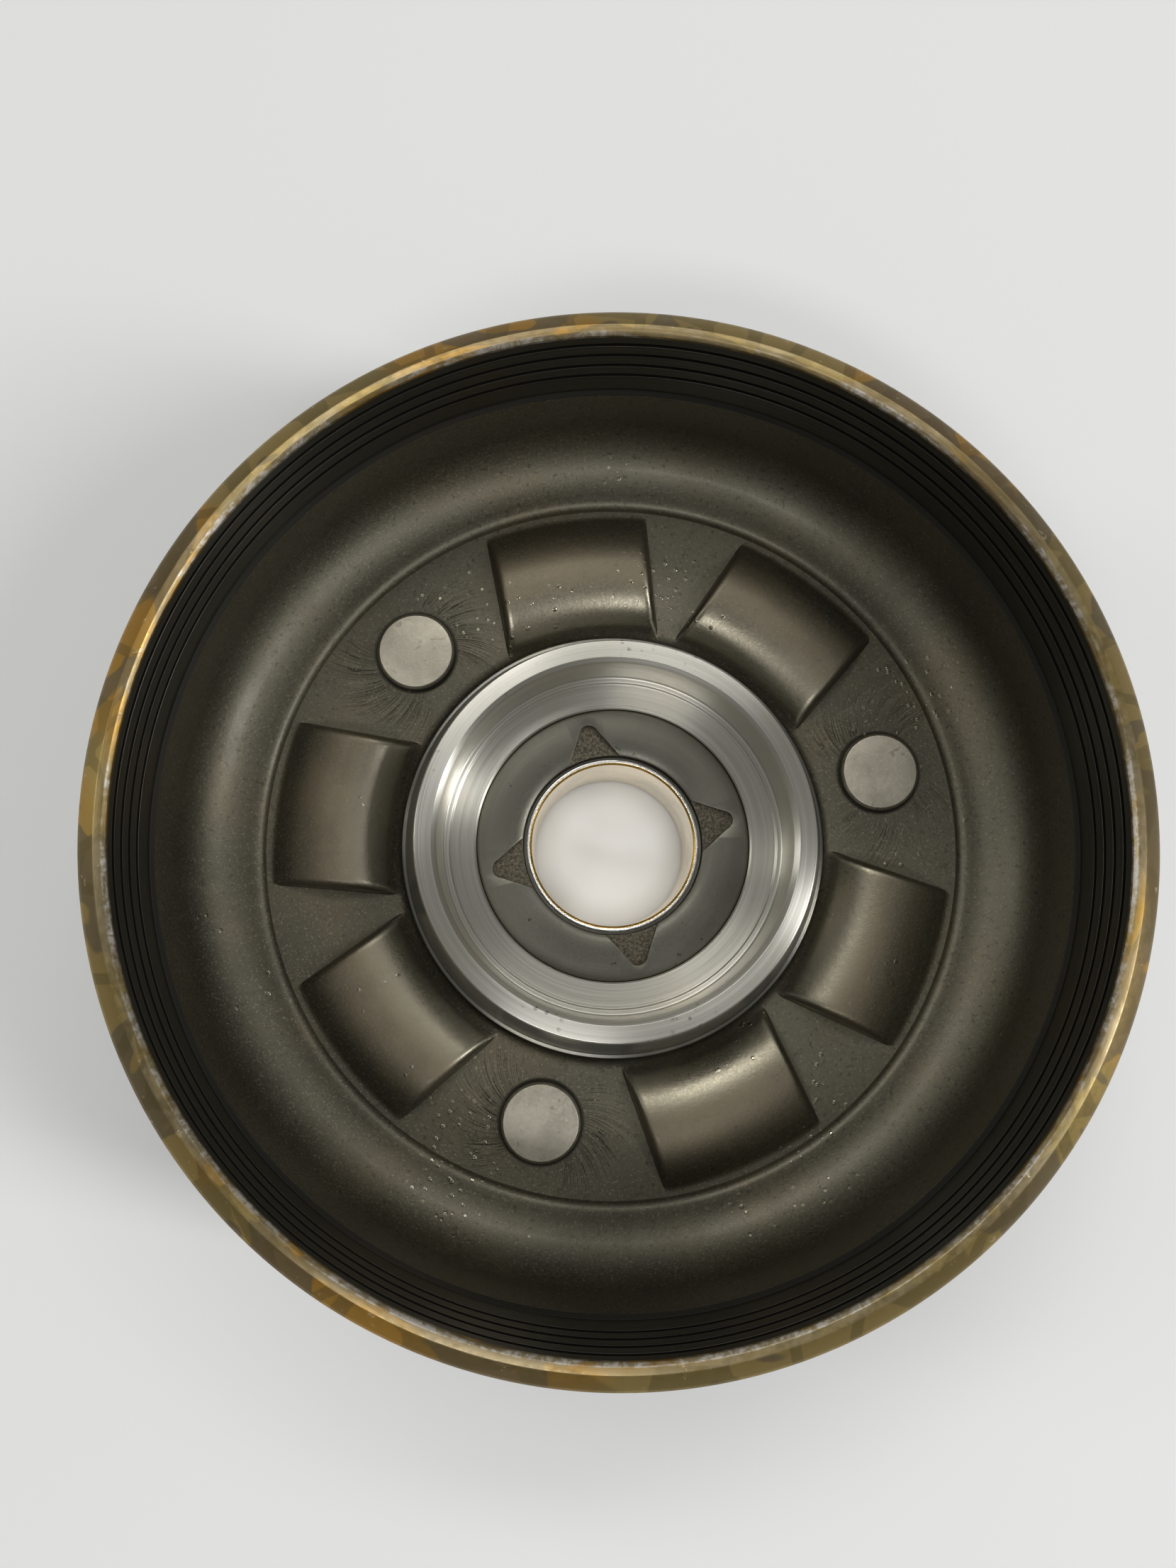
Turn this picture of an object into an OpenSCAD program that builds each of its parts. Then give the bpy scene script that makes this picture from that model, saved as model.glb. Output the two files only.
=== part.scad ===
// Wet clutch drum of a small engine, with its spring damper, one-way clutch race and drive gear.
// The bore axis is Z. Z = 0 is the rear face of the drive gear, and the drum opens towards +Z.

/* [Drum] */
// Height from the rear face of the gear to the top of the rim
overall_h = 63; // [52:0.5:76]
// Inner radius of the machined track that the shoes grip
track_r = 70; // [66:0.5:85]
// Thickness of the side wall at the track
wall_t = 4.5; // [3:0.1:6]
// Thickness of the pressed floor and web
web_t = 3.6; // [3:0.1:5]
// Height of the floor ring above the web
step_h = 1.5; // [0.8:0.1:3]
// Fillet between the floor ring and the side wall
floor_fillet_r = 9; // [3:0.5:10]
// Height of the machined track below the rim
track_h = 19.3; // [17:0.1:26]
// Height of the pilot edge of the web's hole
pilot_h = 1.62; // [0.8:0.02:2.2]
// Thinning of the sheet round the outer fillet
fillet_thinning = 0.6; // [0:0.1:1]
// Flat kept between the step and the inner fillet
floor_flat = 0.5; // [0.2:0.1:2]
// Lean of the step on the underside
step_lean = 1; // [0.5:0.1:2]
// Depth that the track is cut into the wall
track_cut = 0.6; // [0.1:0.05:1]

/* [Rim] */
// Width of the flat land beside the track
land_w = 1.6; // [1:0.1:2.5]
// Drop of the outer bevel
bevel_drop = 1.8; // [0.5:0.1:3]
// Chamfer on the edges of the rim
rim_chamfer = 0.5; // [0.2:0.1:1]

/* [Oil grooves] */
// Number of grooves in the track
groove_count = 4; // [1:1:4]
// Distance from the rim to the first groove
groove_first = 3.3; // [2:0.1:4]
// Distance from one groove to the next
groove_pitch = 3.3; // [2:0.1:4]
// Width of a groove
groove_w = 0.8; // [0.4:0.1:1.2]
// Depth of a groove
groove_d = 0.5; // [0.2:0.1:1]

/* [Hub and bearing] */
// Radius of the bronze bore that runs on the crankshaft
bore_r = 13.5; // [11:0.1:17]
// Thickness of the bronze lining
lining_t = 0.35; // [0.2:0.05:1]
// Thickness of the steel shell of the bush
shell_t = 0.48; // [0.4:0.02:1.5]
// Chamfer in both ends of the bronze bore
lining_chamfer = 0.3; // [0.1:0.05:0.3]
// Radial room round the free end of the bush
counterbore_gap = 0.6; // [0.3:0.1:1]
// Thickness of the hub round the bush
hub_wall = 8.3; // [8.2:0.1:11]
// Height of the hub's front face above the web
hub_face_rise = 2.8; // [1:0.1:4]
// Distance from the hub's front face down to the end of the bush
bush_recess = 1.8; // [1:0.1:4]
// Depth of the counterbore round the end of the bush
counterbore_h = 3; // [2:0.1:5]
// Distance of the bush from the hub's rear face
bush_rear_recess = 0.4; // [0.2:0.1:1]
// Width of the shallow dish round the counterbore
dish_w = 2.6; // [1:0.1:4]
// Depth of the shallow dish
dish_d = 0.4; // [0.2:0.1:0.8]

/* [Oil recesses] */
// Number of oil recesses in the hub's front face
recess_count = 4; // [2:1:6]
// Turn of the first recess from the first rivet
recess_turn = -3; // [-45:1:45]
// Width of a recess at the bore
recess_w = 8; // [5:0.5:9]
// Reach of a recess from the counterbore
recess_reach = 5.4; // [3:0.1:6]
// Width of the rounded tip of a recess
recess_tip_w = 2.5; // [1.5:0.1:4]
// Depth of a recess
recess_d = 1; // [0.5:0.1:2]

/* [One-way clutch race] */
// Width of the turned floor between the hub and the race
race_floor_w = 5.36; // [3:0.1:8]
// Thickness of the race at its open end
race_wall = 3.5; // [2.5:0.1:5]
// Taper of the race's outside over its height
race_taper = 2.7; // [1:0.1:4]
// Width of the foot beyond the foot of the taper
foot_w = 0.7; // [0.3:0.1:2]
// Height of the race above the web
race_rise = 15.5; // [10:0.5:20]
// Height of the foot above the web
foot_rise = 2.7; // [1:0.1:4]
// Height of the turned floor above the hub's front face
race_floor_rise = 0.5; // [0.2:0.1:2]
// Lead-in chamfer at the mouth of the race
race_lead = 0.8; // [0.3:0.1:1.5]
// Fillet at the bottom of the race
race_fillet = 1.2; // [0.3:0.1:1.5]
// Chamfer on the race's outer edges
race_edge = 0.35; // [0.1:0.05:0.6]

/* [Damper springs] */
// Outside diameter of a spring
spring_od = 15.5; // [12:0.1:18.6]
// Diameter of the spring wire
wire_d = 3; // [2:0.1:3.4]
// Length of a spring's window
pocket_len = 24; // [20:0.1:30]
// Number of coils in a spring
coils = 5; // [4:0.5:5.5]
// Angle from the middle of a pair of springs to each of them
pair_half = 22.8; // [22:0.1:24]
// Thickness of the sheet over a spring
pad_sheet = 3.5; // [2:0.1:4]
// Width of the pad beside the spring
pad_side = 2.5; // [2:0.1:5]
// Extra half length of the pad past the window, at its inner end
pad_end_in = 0.65; // [0.1:0.05:2]
// Extra half length of the pad past the window, at its outer end
pad_end_out = 1.65; // [0.5:0.05:3]
// Depth of the pad's sides below the face of the web
pad_bury = 0.2; // [0.1:0.05:0.5]
// Flat web between the web's hole and a pad
pad_hole_gap = 1.05; // [0.5:0.05:3]
// Flat web between a pad and the step
pad_step_gap = 1.3; // [0.5:0.1:3]

/* [Damper plates] */
// Thickness of the driven plate
plate_t = 6.6; // [5:0.1:9]
// Thickness of the back plate
back_t = 3; // [2:0.1:4]
// Width of plate outside the windows
plate_rim = 3.2; // [2:0.1:6]
// Play each way between the drum and the gear, in degrees
play = 5; // [2:0.5:6]
// Width of the cone washer
washer_w = 5.4; // [3:0.1:7]
// Thickness of the cone washer
washer_t = 0.5; // [0.3:0.05:0.7]
// Room between the back plate's bore and the washer's inner edge
washer_inset = 0.6; // [0.2:0.1:1.5]
// Plate kept between the washer and the windows
washer_land = 1; // [0.5:0.1:2]

/* [Rivets] */
// Number of rivets
rivet_count = 3; // [3:1:3]
// Radius of a rivet's shank
shank_r = 4.5; // [3:0.1:5]
// Radius of a rivet's flat head
head_r = 6.5; // [5.5:0.1:7]
// Height of a rivet's flat head
head_h = 1.5; // [1:0.1:2.5]
// Radius of a rivet's closed tail
tail_r = 6.3; // [5.5:0.1:7]
// Height of a rivet's closed tail
tail_h = 1.8; // [1:0.1:3]
// Width of the tail's bevel
tail_bevel_w = 1.2; // [0.5:0.1:2]
// Height of the tail's bevel
tail_bevel_h = 0.8; // [0.3:0.1:0.9]
// Chamfer on the edge of a rivet's head
head_edge = 0.35; // [0.1:0.05:0.6]
// Outer radius of the collar that spaces the plates
collar_r = 6; // [5.2:0.1:6.5]
// Distance of the rivet circle outside the spring circle
rivet_offset = 0.5; // [0:0.1:2]

/* [Drive gear] */
// Number of gear teeth
teeth = 22; // [20:1:24]
// Module of the gear
gear_module = 2.5; // [2.25:0.25:3]
// Width of the toothed ring
gear_w = 11.85; // [10:0.05:16]
// Chamfer on the ends of the teeth
tooth_chamfer = 0.8; // [0.3:0.1:1.2]
// Wall of the hub outside the spigot, which carries the driven plate
boss_step = 3.86; // [2:0.1:5]
// Depth of the recess in the gear's rear face
rear_recess_d = 1; // [0.5:0.1:2]
// Wall kept between the bush and the rear recess
recess_hub_wall = 2.2; // [1:0.1:4]
// Wall kept between the rear recess and the roots of the teeth
recess_rim_wall = 2.5; // [1:0.1:4]
// Thinning of each side of a tooth for backlash, in degrees
backlash = 0.3; // [0:0.05:0.6]
// Spread of a tooth's foot at the root, in degrees
root_spread = 0.6; // [0:0.1:1]

/* [Clearances] */
// Radial running clearance between the drum's web and the foot of the race
run_gap = 0.05; // [0.02:0.01:0.1]
// Gap between the web and the driven plate
face_gap = 0.15; // [0.1:0.05:0.4]
// Gap between the driven plate and the back plate
washer_gap = 0.85; // [0.8:0.05:1.2]
// Room round a spring and round a collar
spring_gap = 0.3; // [0.2:0.05:0.6]
// Room between a spring's tunnel and the side of its window
window_gap = 0.05; // [0.02:0.01:0.2]
// Play of the cone washer under the driven plate
washer_play = 0.1; // [0.05:0.05:0.3]
// Room at each end of a spring
spring_end_gap = 0.15; // [0.1:0.05:0.3]
// Room between the gear teeth and the back plate
gear_gap = 1; // [0.5:0.1:2]

/* [Hidden] */
$fn = 160;
eps = 0.01;
pressure_angle = 20;
dedendum = 1.25;
closed_gap = 0.05;
arc_steps = 10;
spring_count = 2 * rivet_count;
sector = 360 / rivet_count;

// Heights, from the rear face upwards
plate_z = gear_w;
plate_top = plate_z + plate_t;
web_z = plate_top + face_gap;
web_top = web_z + web_t;
floor_top = web_top + step_h;
floor_z = web_z + step_h;
back_top = plate_z - washer_gap;
back_z = back_top - back_t;
hub_face_z = web_top + hub_face_rise;
race_floor_z = hub_face_z + race_floor_rise;
race_top = web_top + race_rise;
bush_top = hub_face_z - bush_recess;
spring_z = plate_z + plate_t / 2;

// Radii, from the bore outwards
shell_in_r = bore_r + lining_t;
bush_r = shell_in_r + shell_t;
counterbore_r = bush_r + counterbore_gap;
spigot_r = bush_r + hub_wall;
boss_r = spigot_r + boss_step;
race_r = spigot_r + race_floor_w;
race_out_r = race_r + race_wall;
taper_foot_r = race_out_r + race_taper;
foot_r = taper_foot_r + foot_w;
pilot_r = foot_r + run_gap;
tip_r = gear_module * (teeth + 2) / 2;
back_bore_r = tip_r + gear_gap;
washer_r = back_bore_r + washer_inset;

// Springs, pads and windows
spring_r = spring_od / 2;
tunnel_r = spring_r + spring_gap;
window_half = tunnel_r + window_gap;
pad_half = spring_r + pad_side;
circle_for_race = pilot_r + pad_hole_gap + pad_half;
circle_for_washer = washer_r + washer_w + washer_land + window_half;
spring_circle_r = max(circle_for_race, circle_for_washer);
rivet_circle_r = spring_circle_r + rivet_offset;
pad_crest = spring_z + tunnel_r + pad_sheet;
pad_sag = pad_crest - web_top + pad_bury;
pad_arch_r = (pad_half * pad_half + pad_sag * pad_sag) / (2 * pad_sag);
pad_out_r = spring_circle_r + pad_half;
step_r = pad_out_r + pad_step_gap;
plate_r = spring_circle_r + window_half + plate_rim;
spring_len = pocket_len - 2 * spring_end_gap;

// Side wall
drum_r = track_r + wall_t;
wall_in_r = track_r - track_cut;
inner_fillet = min(floor_fillet_r, wall_in_r - step_r - step_h - floor_flat);
outer_fillet = inner_fillet + web_t - fillet_thinning;
hole_round = web_t - pilot_h;

spring_angles = [for (i = [0 : rivet_count - 1]) for (s = [-1, 1]) sector * (i + 0.5) + s * pair_half];
rivet_angles = [for (i = [0 : rivet_count - 1]) sector * i];

// Points of an arc, from angle a0 to angle a1
function arc(cx, cy, r, a0, a1, n = arc_steps) =
    [for (i = [0 : n]) let (a = a0 + (a1 - a0) * i / n) [cx + r * cos(a), cy + r * sin(a)]];

// One groove of the track, from below upwards, as steps in the wall's outline
function groove(z) = [
    [track_r, z - groove_w / 2],
    [track_r + groove_d, z - groove_w / 2],
    [track_r + groove_d, z + groove_w / 2],
    [track_r, z + groove_w / 2]
];

// Outline of the pressed and turned drum
module drum_profile() {
    grooves = [
        for (i = [groove_count - 1 : -1 : 0])
        for (p = groove(overall_h - groove_first - i * groove_pitch)) p
    ];
    polygon(concat(
        [[pilot_r, web_z]],
        arc(pilot_r + hole_round, web_top - hole_round, hole_round, 180, 90),
        arc(step_r + step_h, web_top, step_h, 180, 90),
        arc(wall_in_r - inner_fillet, floor_top + inner_fillet, inner_fillet, 270, 360),
        [[wall_in_r, overall_h - track_h], [track_r, overall_h - track_h + track_cut]],
        grooves,
        [
            [track_r, overall_h - rim_chamfer],
            [track_r + rim_chamfer, overall_h],
            [track_r + land_w, overall_h],
            [drum_r - rim_chamfer, overall_h - bevel_drop],
            [drum_r, overall_h - bevel_drop - rim_chamfer]
        ],
        arc(drum_r - outer_fillet, floor_z + outer_fillet, outer_fillet, 0, -90),
        [[step_r + step_h + step_lean, floor_z], [step_r + step_lean, web_z]]
    ));
}

// Room that one spring takes in the drum and the back plate
module spring_tunnel() {
    translate([spring_circle_r, pocket_len / 2, spring_z])
        rotate([90, 0, 0])
            cylinder(r = tunnel_r, h = pocket_len);
}

// One raised pad of the web, over a spring on +X
module spring_pad() {
    half_in = pocket_len / 2 + pad_end_in;
    half_out = pocket_len / 2 + pad_end_out;
    x_in = spring_circle_r - pad_half;
    x_out = pad_out_r + 1;
    intersection() {
        translate([spring_circle_r, half_out + 1, pad_crest - pad_arch_r])
            rotate([90, 0, 0])
                cylinder(r = pad_arch_r, h = 2 * half_out + 2);
        translate([0, 0, web_z + eps])
            linear_extrude(pad_crest - web_z)
                polygon([[x_in, -half_in], [x_out, -half_out], [x_out, half_out], [x_in, half_in]]);
        cylinder(r = pad_out_r, h = pad_crest + 1);
    }
}

module drum_shell() {
    color([0.30, 0.29, 0.26])
        difference() {
            union() {
                rotate_extrude() drum_profile();
                for (a = spring_angles) rotate(a) spring_pad();
            }
            for (a = spring_angles) rotate(a) spring_tunnel();
            for (a = rivet_angles)
                rotate(a)
                    translate([rivet_circle_r, 0, web_z - 1])
                        cylinder(r = shank_r, h = web_t + 2);
            translate([0, 0, web_z - 1]) cylinder(r = pilot_r, h = pad_crest);
        }
}

// Turned ring with the race inside, a tapered outside and a foot that centres the drum
module race_ring() {
    color([0.66, 0.66, 0.65])
        rotate_extrude()
            polygon(concat(
                [
                    [spigot_r, plate_top],
                    [foot_r, plate_top],
                    [foot_r, web_top + foot_rise - race_edge],
                    [foot_r - race_edge, web_top + foot_rise],
                    [taper_foot_r, web_top + foot_rise],
                    [race_out_r, race_top - race_edge],
                    [race_out_r - race_edge, race_top],
                    [race_r + race_lead, race_top],
                    [race_r, race_top - race_lead]
                ],
                arc(race_r - race_fillet, race_floor_z + race_fillet, race_fillet, 0, -90),
                [[spigot_r, race_floor_z]]
            ));
}

// Involute of the gear's base circle, as an angle
function inv(a) = tan(a) * 180 / PI - a;

pitch_r = gear_module * teeth / 2;
base_r = pitch_r * cos(pressure_angle);
root_r = pitch_r - dedendum * gear_module;
flank_steps = 4;

function half_tooth(r) =
    90 / teeth - backlash + inv(pressure_angle) - inv(acos(min(1, base_r / r)));

function flank(centre, side) = [
    for (i = [0 : flank_steps])
    let (r = base_r + (tip_r - base_r) * i / flank_steps, a = centre + side * half_tooth(r))
    [r * cos(a), r * sin(a)]
];

function reversed(list) = [for (i = [len(list) - 1 : -1 : 0]) list[i]];

function tooth_foot(a) = [root_r * cos(a), root_r * sin(a)];

function tooth(centre) = let (foot = half_tooth(base_r) + root_spread) concat(
    [tooth_foot(centre - foot)],
    flank(centre, -1),
    reversed(flank(centre, 1)),
    [tooth_foot(centre + foot)]
);

module toothed_ring() {
    intersection() {
        linear_extrude(gear_w)
            polygon([for (i = [0 : teeth - 1]) for (p = tooth(360 * i / teeth)) p]);
        rotate_extrude()
            polygon([
                [0, 0],
                [tip_r + eps - tooth_chamfer, 0],
                [tip_r + eps, tooth_chamfer],
                [tip_r + eps, gear_w - tooth_chamfer],
                [tip_r + eps - tooth_chamfer, gear_w],
                [0, gear_w]
            ]);
    }
}

// One oil recess in the hub's front face, on +X
module oil_recess() {
    tip_x = counterbore_r + recess_reach - recess_tip_w / 2;
    translate([0, 0, hub_face_z - recess_d])
        linear_extrude(recess_d + 1)
            union() {
                polygon([
                    [counterbore_r - 1, -recess_w / 2],
                    [tip_x, -recess_tip_w / 2],
                    [tip_x, recess_tip_w / 2],
                    [counterbore_r - 1, recess_w / 2]
                ]);
                translate([tip_x, 0]) circle(r = recess_tip_w / 2);
            }
}

// Drive gear with the boss for the driven plate and the spigot for the race
module drive_gear() {
    rear_recess_in = bush_r + recess_hub_wall;
    rear_recess_out = root_r - recess_rim_wall;
    color([0.34, 0.34, 0.33])
        difference() {
            union() {
                toothed_ring();
                translate([0, 0, gear_w - eps]) cylinder(r = boss_r, h = plate_t + eps);
                translate([0, 0, plate_top - eps]) cylinder(r = spigot_r, h = hub_face_z - plate_top + eps);
            }
            translate([0, 0, -1]) cylinder(r = bush_r, h = hub_face_z + 2);
            translate([0, 0, hub_face_z - counterbore_h]) cylinder(r = counterbore_r, h = counterbore_h + 1);
            translate([0, 0, hub_face_z - dish_d])
                cylinder(r1 = counterbore_r, r2 = counterbore_r + dish_w, h = dish_d + eps);
            for (i = [0 : recess_count - 1]) rotate(recess_turn + 360 * i / recess_count) oil_recess();
            translate([0, 0, -1])
                difference() {
                    cylinder(r = rear_recess_out, h = rear_recess_d + 1);
                    translate([0, 0, -1]) cylinder(r = rear_recess_in, h = rear_recess_d + 3);
                }
        }
}

// Outline of the slot that one rivet collar moves in
module collar_slot() {
    room = collar_r + spring_gap;
    polygon(concat(
        arc(0, 0, rivet_circle_r + room, -play, play, 8),
        arc(rivet_circle_r * cos(play), rivet_circle_r * sin(play), room, play + 15, play + 165, arc_steps),
        arc(0, 0, rivet_circle_r - room, play, -play, 8),
        arc(rivet_circle_r * cos(play), -rivet_circle_r * sin(play), room, 195 - play, 345 - play, arc_steps)
    ));
}

// Driven plate, pressed on the gear's boss, with windows for the springs
module damper_plate() {
    color([0.36, 0.35, 0.33])
        translate([0, 0, plate_z])
            difference() {
                cylinder(r = plate_r, h = plate_t);
                translate([0, 0, -1]) cylinder(r = boss_r, h = plate_t + 2);
                for (a = spring_angles)
                    rotate(a)
                        translate([spring_circle_r - window_half, -pocket_len / 2, -1])
                            cube([2 * window_half, pocket_len, plate_t + 2]);
                for (a = rivet_angles)
                    rotate(a)
                        translate([0, 0, -1])
                            linear_extrude(plate_t + 2) collar_slot();
            }
}

// Back plate, riveted to the drum, which keeps the springs in
module back_plate() {
    color([0.40, 0.39, 0.36])
        difference() {
            translate([0, 0, back_z]) cylinder(r = plate_r, h = back_t);
            translate([0, 0, back_z - 1]) cylinder(r = back_bore_r, h = back_t + 2);
            for (a = spring_angles) rotate(a) spring_tunnel();
            for (a = rivet_angles)
                rotate(a)
                    translate([rivet_circle_r, 0, back_z - 1]) cylinder(r = shank_r, h = back_t + 2);
        }
}

// Cone washer between the back plate and the driven plate
module cone_washer() {
    low = back_top;
    high = plate_z - washer_play;
    color([0.55, 0.55, 0.54])
        rotate_extrude()
            polygon([
                [washer_r, high - washer_t],
                [washer_r + washer_w, low],
                [washer_r + washer_w, low + washer_t],
                [washer_r, high]
            ]);
}

module bush_shell() {
    color([0.72, 0.72, 0.72])
        rotate_extrude()
            polygon([
                [shell_in_r, bush_rear_recess],
                [bush_r, bush_rear_recess],
                [bush_r, bush_top],
                [shell_in_r, bush_top]
            ]);
}

module bush_lining() {
    color([0.78, 0.62, 0.32])
        rotate_extrude()
            polygon([
                [bore_r, bush_rear_recess + lining_chamfer],
                [bore_r + lining_chamfer, bush_rear_recess],
                [shell_in_r, bush_rear_recess],
                [shell_in_r, bush_top],
                [bore_r + lining_chamfer, bush_top],
                [bore_r, bush_top - lining_chamfer]
            ]);
}

// Rivet with a flat head on the web and a closed tail on the back plate
module rivet() {
    color([0.60, 0.59, 0.55])
        translate([rivet_circle_r, 0, 0])
            rotate_extrude($fn = 64)
                polygon([
                    [0, back_z - tail_h],
                    [tail_r - tail_bevel_w, back_z - tail_h],
                    [tail_r, back_z - tail_h + tail_bevel_h],
                    [tail_r, back_z],
                    [shank_r, back_z],
                    [shank_r, web_top],
                    [head_r, web_top],
                    [head_r, web_top + head_h - head_edge],
                    [head_r - head_edge, web_top + head_h],
                    [0, web_top + head_h]
                ]);
}

module rivet_collar() {
    color([0.50, 0.50, 0.48])
        translate([rivet_circle_r, 0, back_top])
            difference() {
                cylinder(r = collar_r, h = web_z - back_top, $fn = 64);
                translate([0, 0, -1]) cylinder(r = shank_r, h = web_z - back_top + 2, $fn = 64);
            }
}

// Coil spring on +X, lying along Y: rings of points round a helix whose end coils are closed
spring_sides = 8;
rings_per_coil = 11;
ring_count = round(coils * rings_per_coil);
mean_r = spring_r - wire_d / 2;
closed_coils = 0.75;

// Distance along the spring after t coils
function coil_rise(t) =
    let (
        closed_pitch = wire_d + closed_gap,
        open_coils = coils - 2 * closed_coils,
        open_pitch = (spring_len - wire_d - 2 * closed_coils * closed_pitch) / open_coils
    )
    closed_pitch * min(t, closed_coils)
    + open_pitch * min(max(t - closed_coils, 0), open_coils)
    + closed_pitch * max(t - closed_coils - open_coils, 0);

module damper_spring() {
    points = [
        for (i = [0 : ring_count])
        for (j = [0 : spring_sides - 1])
        let (
            t = coils * i / ring_count,
            turn = 360 * t,
            side = 360 * j / spring_sides + 180 / spring_sides,
            r = mean_r + wire_d / 2 * cos(side),
            y = coil_rise(t) + wire_d / 2 + wire_d / 2 * sin(side) - spring_len / 2
        )
        [r * cos(turn), y, r * sin(turn)]
    ];
    sides = [
        for (i = [0 : ring_count - 1])
        for (j = [0 : spring_sides - 1])
        let (k = (j + 1) % spring_sides, a = i * spring_sides, b = a + spring_sides)
        [a + j, b + j, b + k, a + k]
    ];
    start_cap = [for (j = [0 : spring_sides - 1]) j];
    end_cap = [for (j = [spring_sides - 1 : -1 : 0]) ring_count * spring_sides + j];
    color([0.45, 0.45, 0.44])
        translate([spring_circle_r, 0, spring_z])
            polyhedron(points = points, faces = concat(sides, [start_cap, end_cap]), convexity = 8);
}

drum_shell();
race_ring();
drive_gear();
damper_plate();
back_plate();
cone_washer();
bush_shell();
bush_lining();
for (i = [0 : rivet_count - 1]) {
    rotate(rivet_angles[i]) rivet();
    rotate(rivet_angles[i]) rivet_collar();
}
for (i = [0 : spring_count - 1])
    rotate(spring_angles[i]) damper_spring();
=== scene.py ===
import math

import bmesh
import bpy
from bpy.props import FloatProperty, FloatVectorProperty, IntProperty, PointerProperty
from mathutils import Matrix, Vector


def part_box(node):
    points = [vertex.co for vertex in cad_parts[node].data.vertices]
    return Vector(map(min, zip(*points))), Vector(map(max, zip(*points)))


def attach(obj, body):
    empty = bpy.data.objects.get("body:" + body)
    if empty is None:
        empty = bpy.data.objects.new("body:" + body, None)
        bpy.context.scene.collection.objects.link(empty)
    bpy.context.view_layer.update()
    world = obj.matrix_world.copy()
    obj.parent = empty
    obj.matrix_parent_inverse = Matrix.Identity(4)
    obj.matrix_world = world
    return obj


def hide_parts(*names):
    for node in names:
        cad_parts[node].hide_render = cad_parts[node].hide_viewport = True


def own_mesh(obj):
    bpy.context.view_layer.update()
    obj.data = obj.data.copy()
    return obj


bl_info = {
    "name": "Wet clutch drum",
    "version": (1, 0, 0),
    "blender": (4, 5, 0),
    "location": "View3D > Sidebar > Clutch drum",
    "description": "Builds the detailed pieces of a wet clutch drum round its packed CAD frame",
    "category": "Object",
}

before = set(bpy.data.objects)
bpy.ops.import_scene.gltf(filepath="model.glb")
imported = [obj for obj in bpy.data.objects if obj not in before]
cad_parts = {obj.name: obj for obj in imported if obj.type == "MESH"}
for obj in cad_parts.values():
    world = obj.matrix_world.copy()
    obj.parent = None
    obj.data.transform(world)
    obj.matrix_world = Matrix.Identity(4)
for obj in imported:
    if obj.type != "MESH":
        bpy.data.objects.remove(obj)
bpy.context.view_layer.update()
MM = 0.001
COUNT = 3  # rivets, and pairs of springs
SECTOR = math.tau / COUNT


def low(node, axis=2):
    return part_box(node)[0][axis]


def top(node, axis=2):
    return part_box(node)[1][axis]


def length(name, default, description):
    return FloatProperty(name=name, description=description, default=default * MM,
                         unit="LENGTH", subtype="DISTANCE", precision=5)


def tint(name, default, description):
    return FloatVectorProperty(name=name, description=description, default=default,
                               size=3, min=0, max=1, subtype="COLOR")


# ---------------------------------------------------------------- sizes and colours

class DrumSizes(bpy.types.PropertyGroup):
    track_r: length("Track radius", 70, "Inner radius of the machined shoe track")
    wall_in_r: length("Wall radius", 69.4, "Inner radius of the pressed wall below the track")
    track_h: length("Track height", 19.3, "Height of the shoe track below the rim")
    land_w: length("Land width", 1.6, "Width of the flat land beside the track")
    bevel_drop: length("Bevel drop", 1.8, "Drop of the outer bevel of the rim")
    rim_edge: length("Rim chamfer", 0.5, "Chamfer on the edges of the rim")
    groove_first: length("First groove", 3.3, "Distance from the rim to the first oil groove")
    groove_pitch: length("Groove pitch", 3.3, "Distance between oil grooves")
    groove_w: length("Groove width", 0.8, "Width of an oil groove")
    groove_d: length("Groove depth", 0.5, "Depth of an oil groove")
    web_t: length("Web thickness", 3.6, "Thickness of the pressed floor and web")
    step_h: length("Step height", 1.5, "Height of the floor ring above the web")
    step_r: length("Step radius", 57.79, "Radius of the step between web and floor ring")
    fillet_r: length("Floor fillet", 9, "Fillet between floor and wall")
    outer_fillet_r: length("Outer fillet", 12, "Fillet round the outside of the floor")
    hole_r: length("Hole radius", 34.94, "Radius of the hole that the race ring fills")
    hole_round: length("Hole rounding", 1.98, "Rounding of the edge of the web's hole")
    pad_in_w: length("Pad inner half length", 12.65, "Half length of a raised pad at its inner side")
    pad_out_w: length("Pad outer half length", 13.65, "Half length of a raised pad at its outer side")
    pad_half: length("Pad half width", 10.25, "Half width of a raised pad across the spring")
    pad_crest: length("Pad crest", 26.7, "Height of the top of a raised pad above the gear's rear face")
    pad_bury: length("Pad side depth", 0.2, "Depth of the pad's sides below the web")
    groove_count: IntProperty(name="Oil grooves", description="Number of oil grooves", default=4, min=1, max=4)


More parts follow.
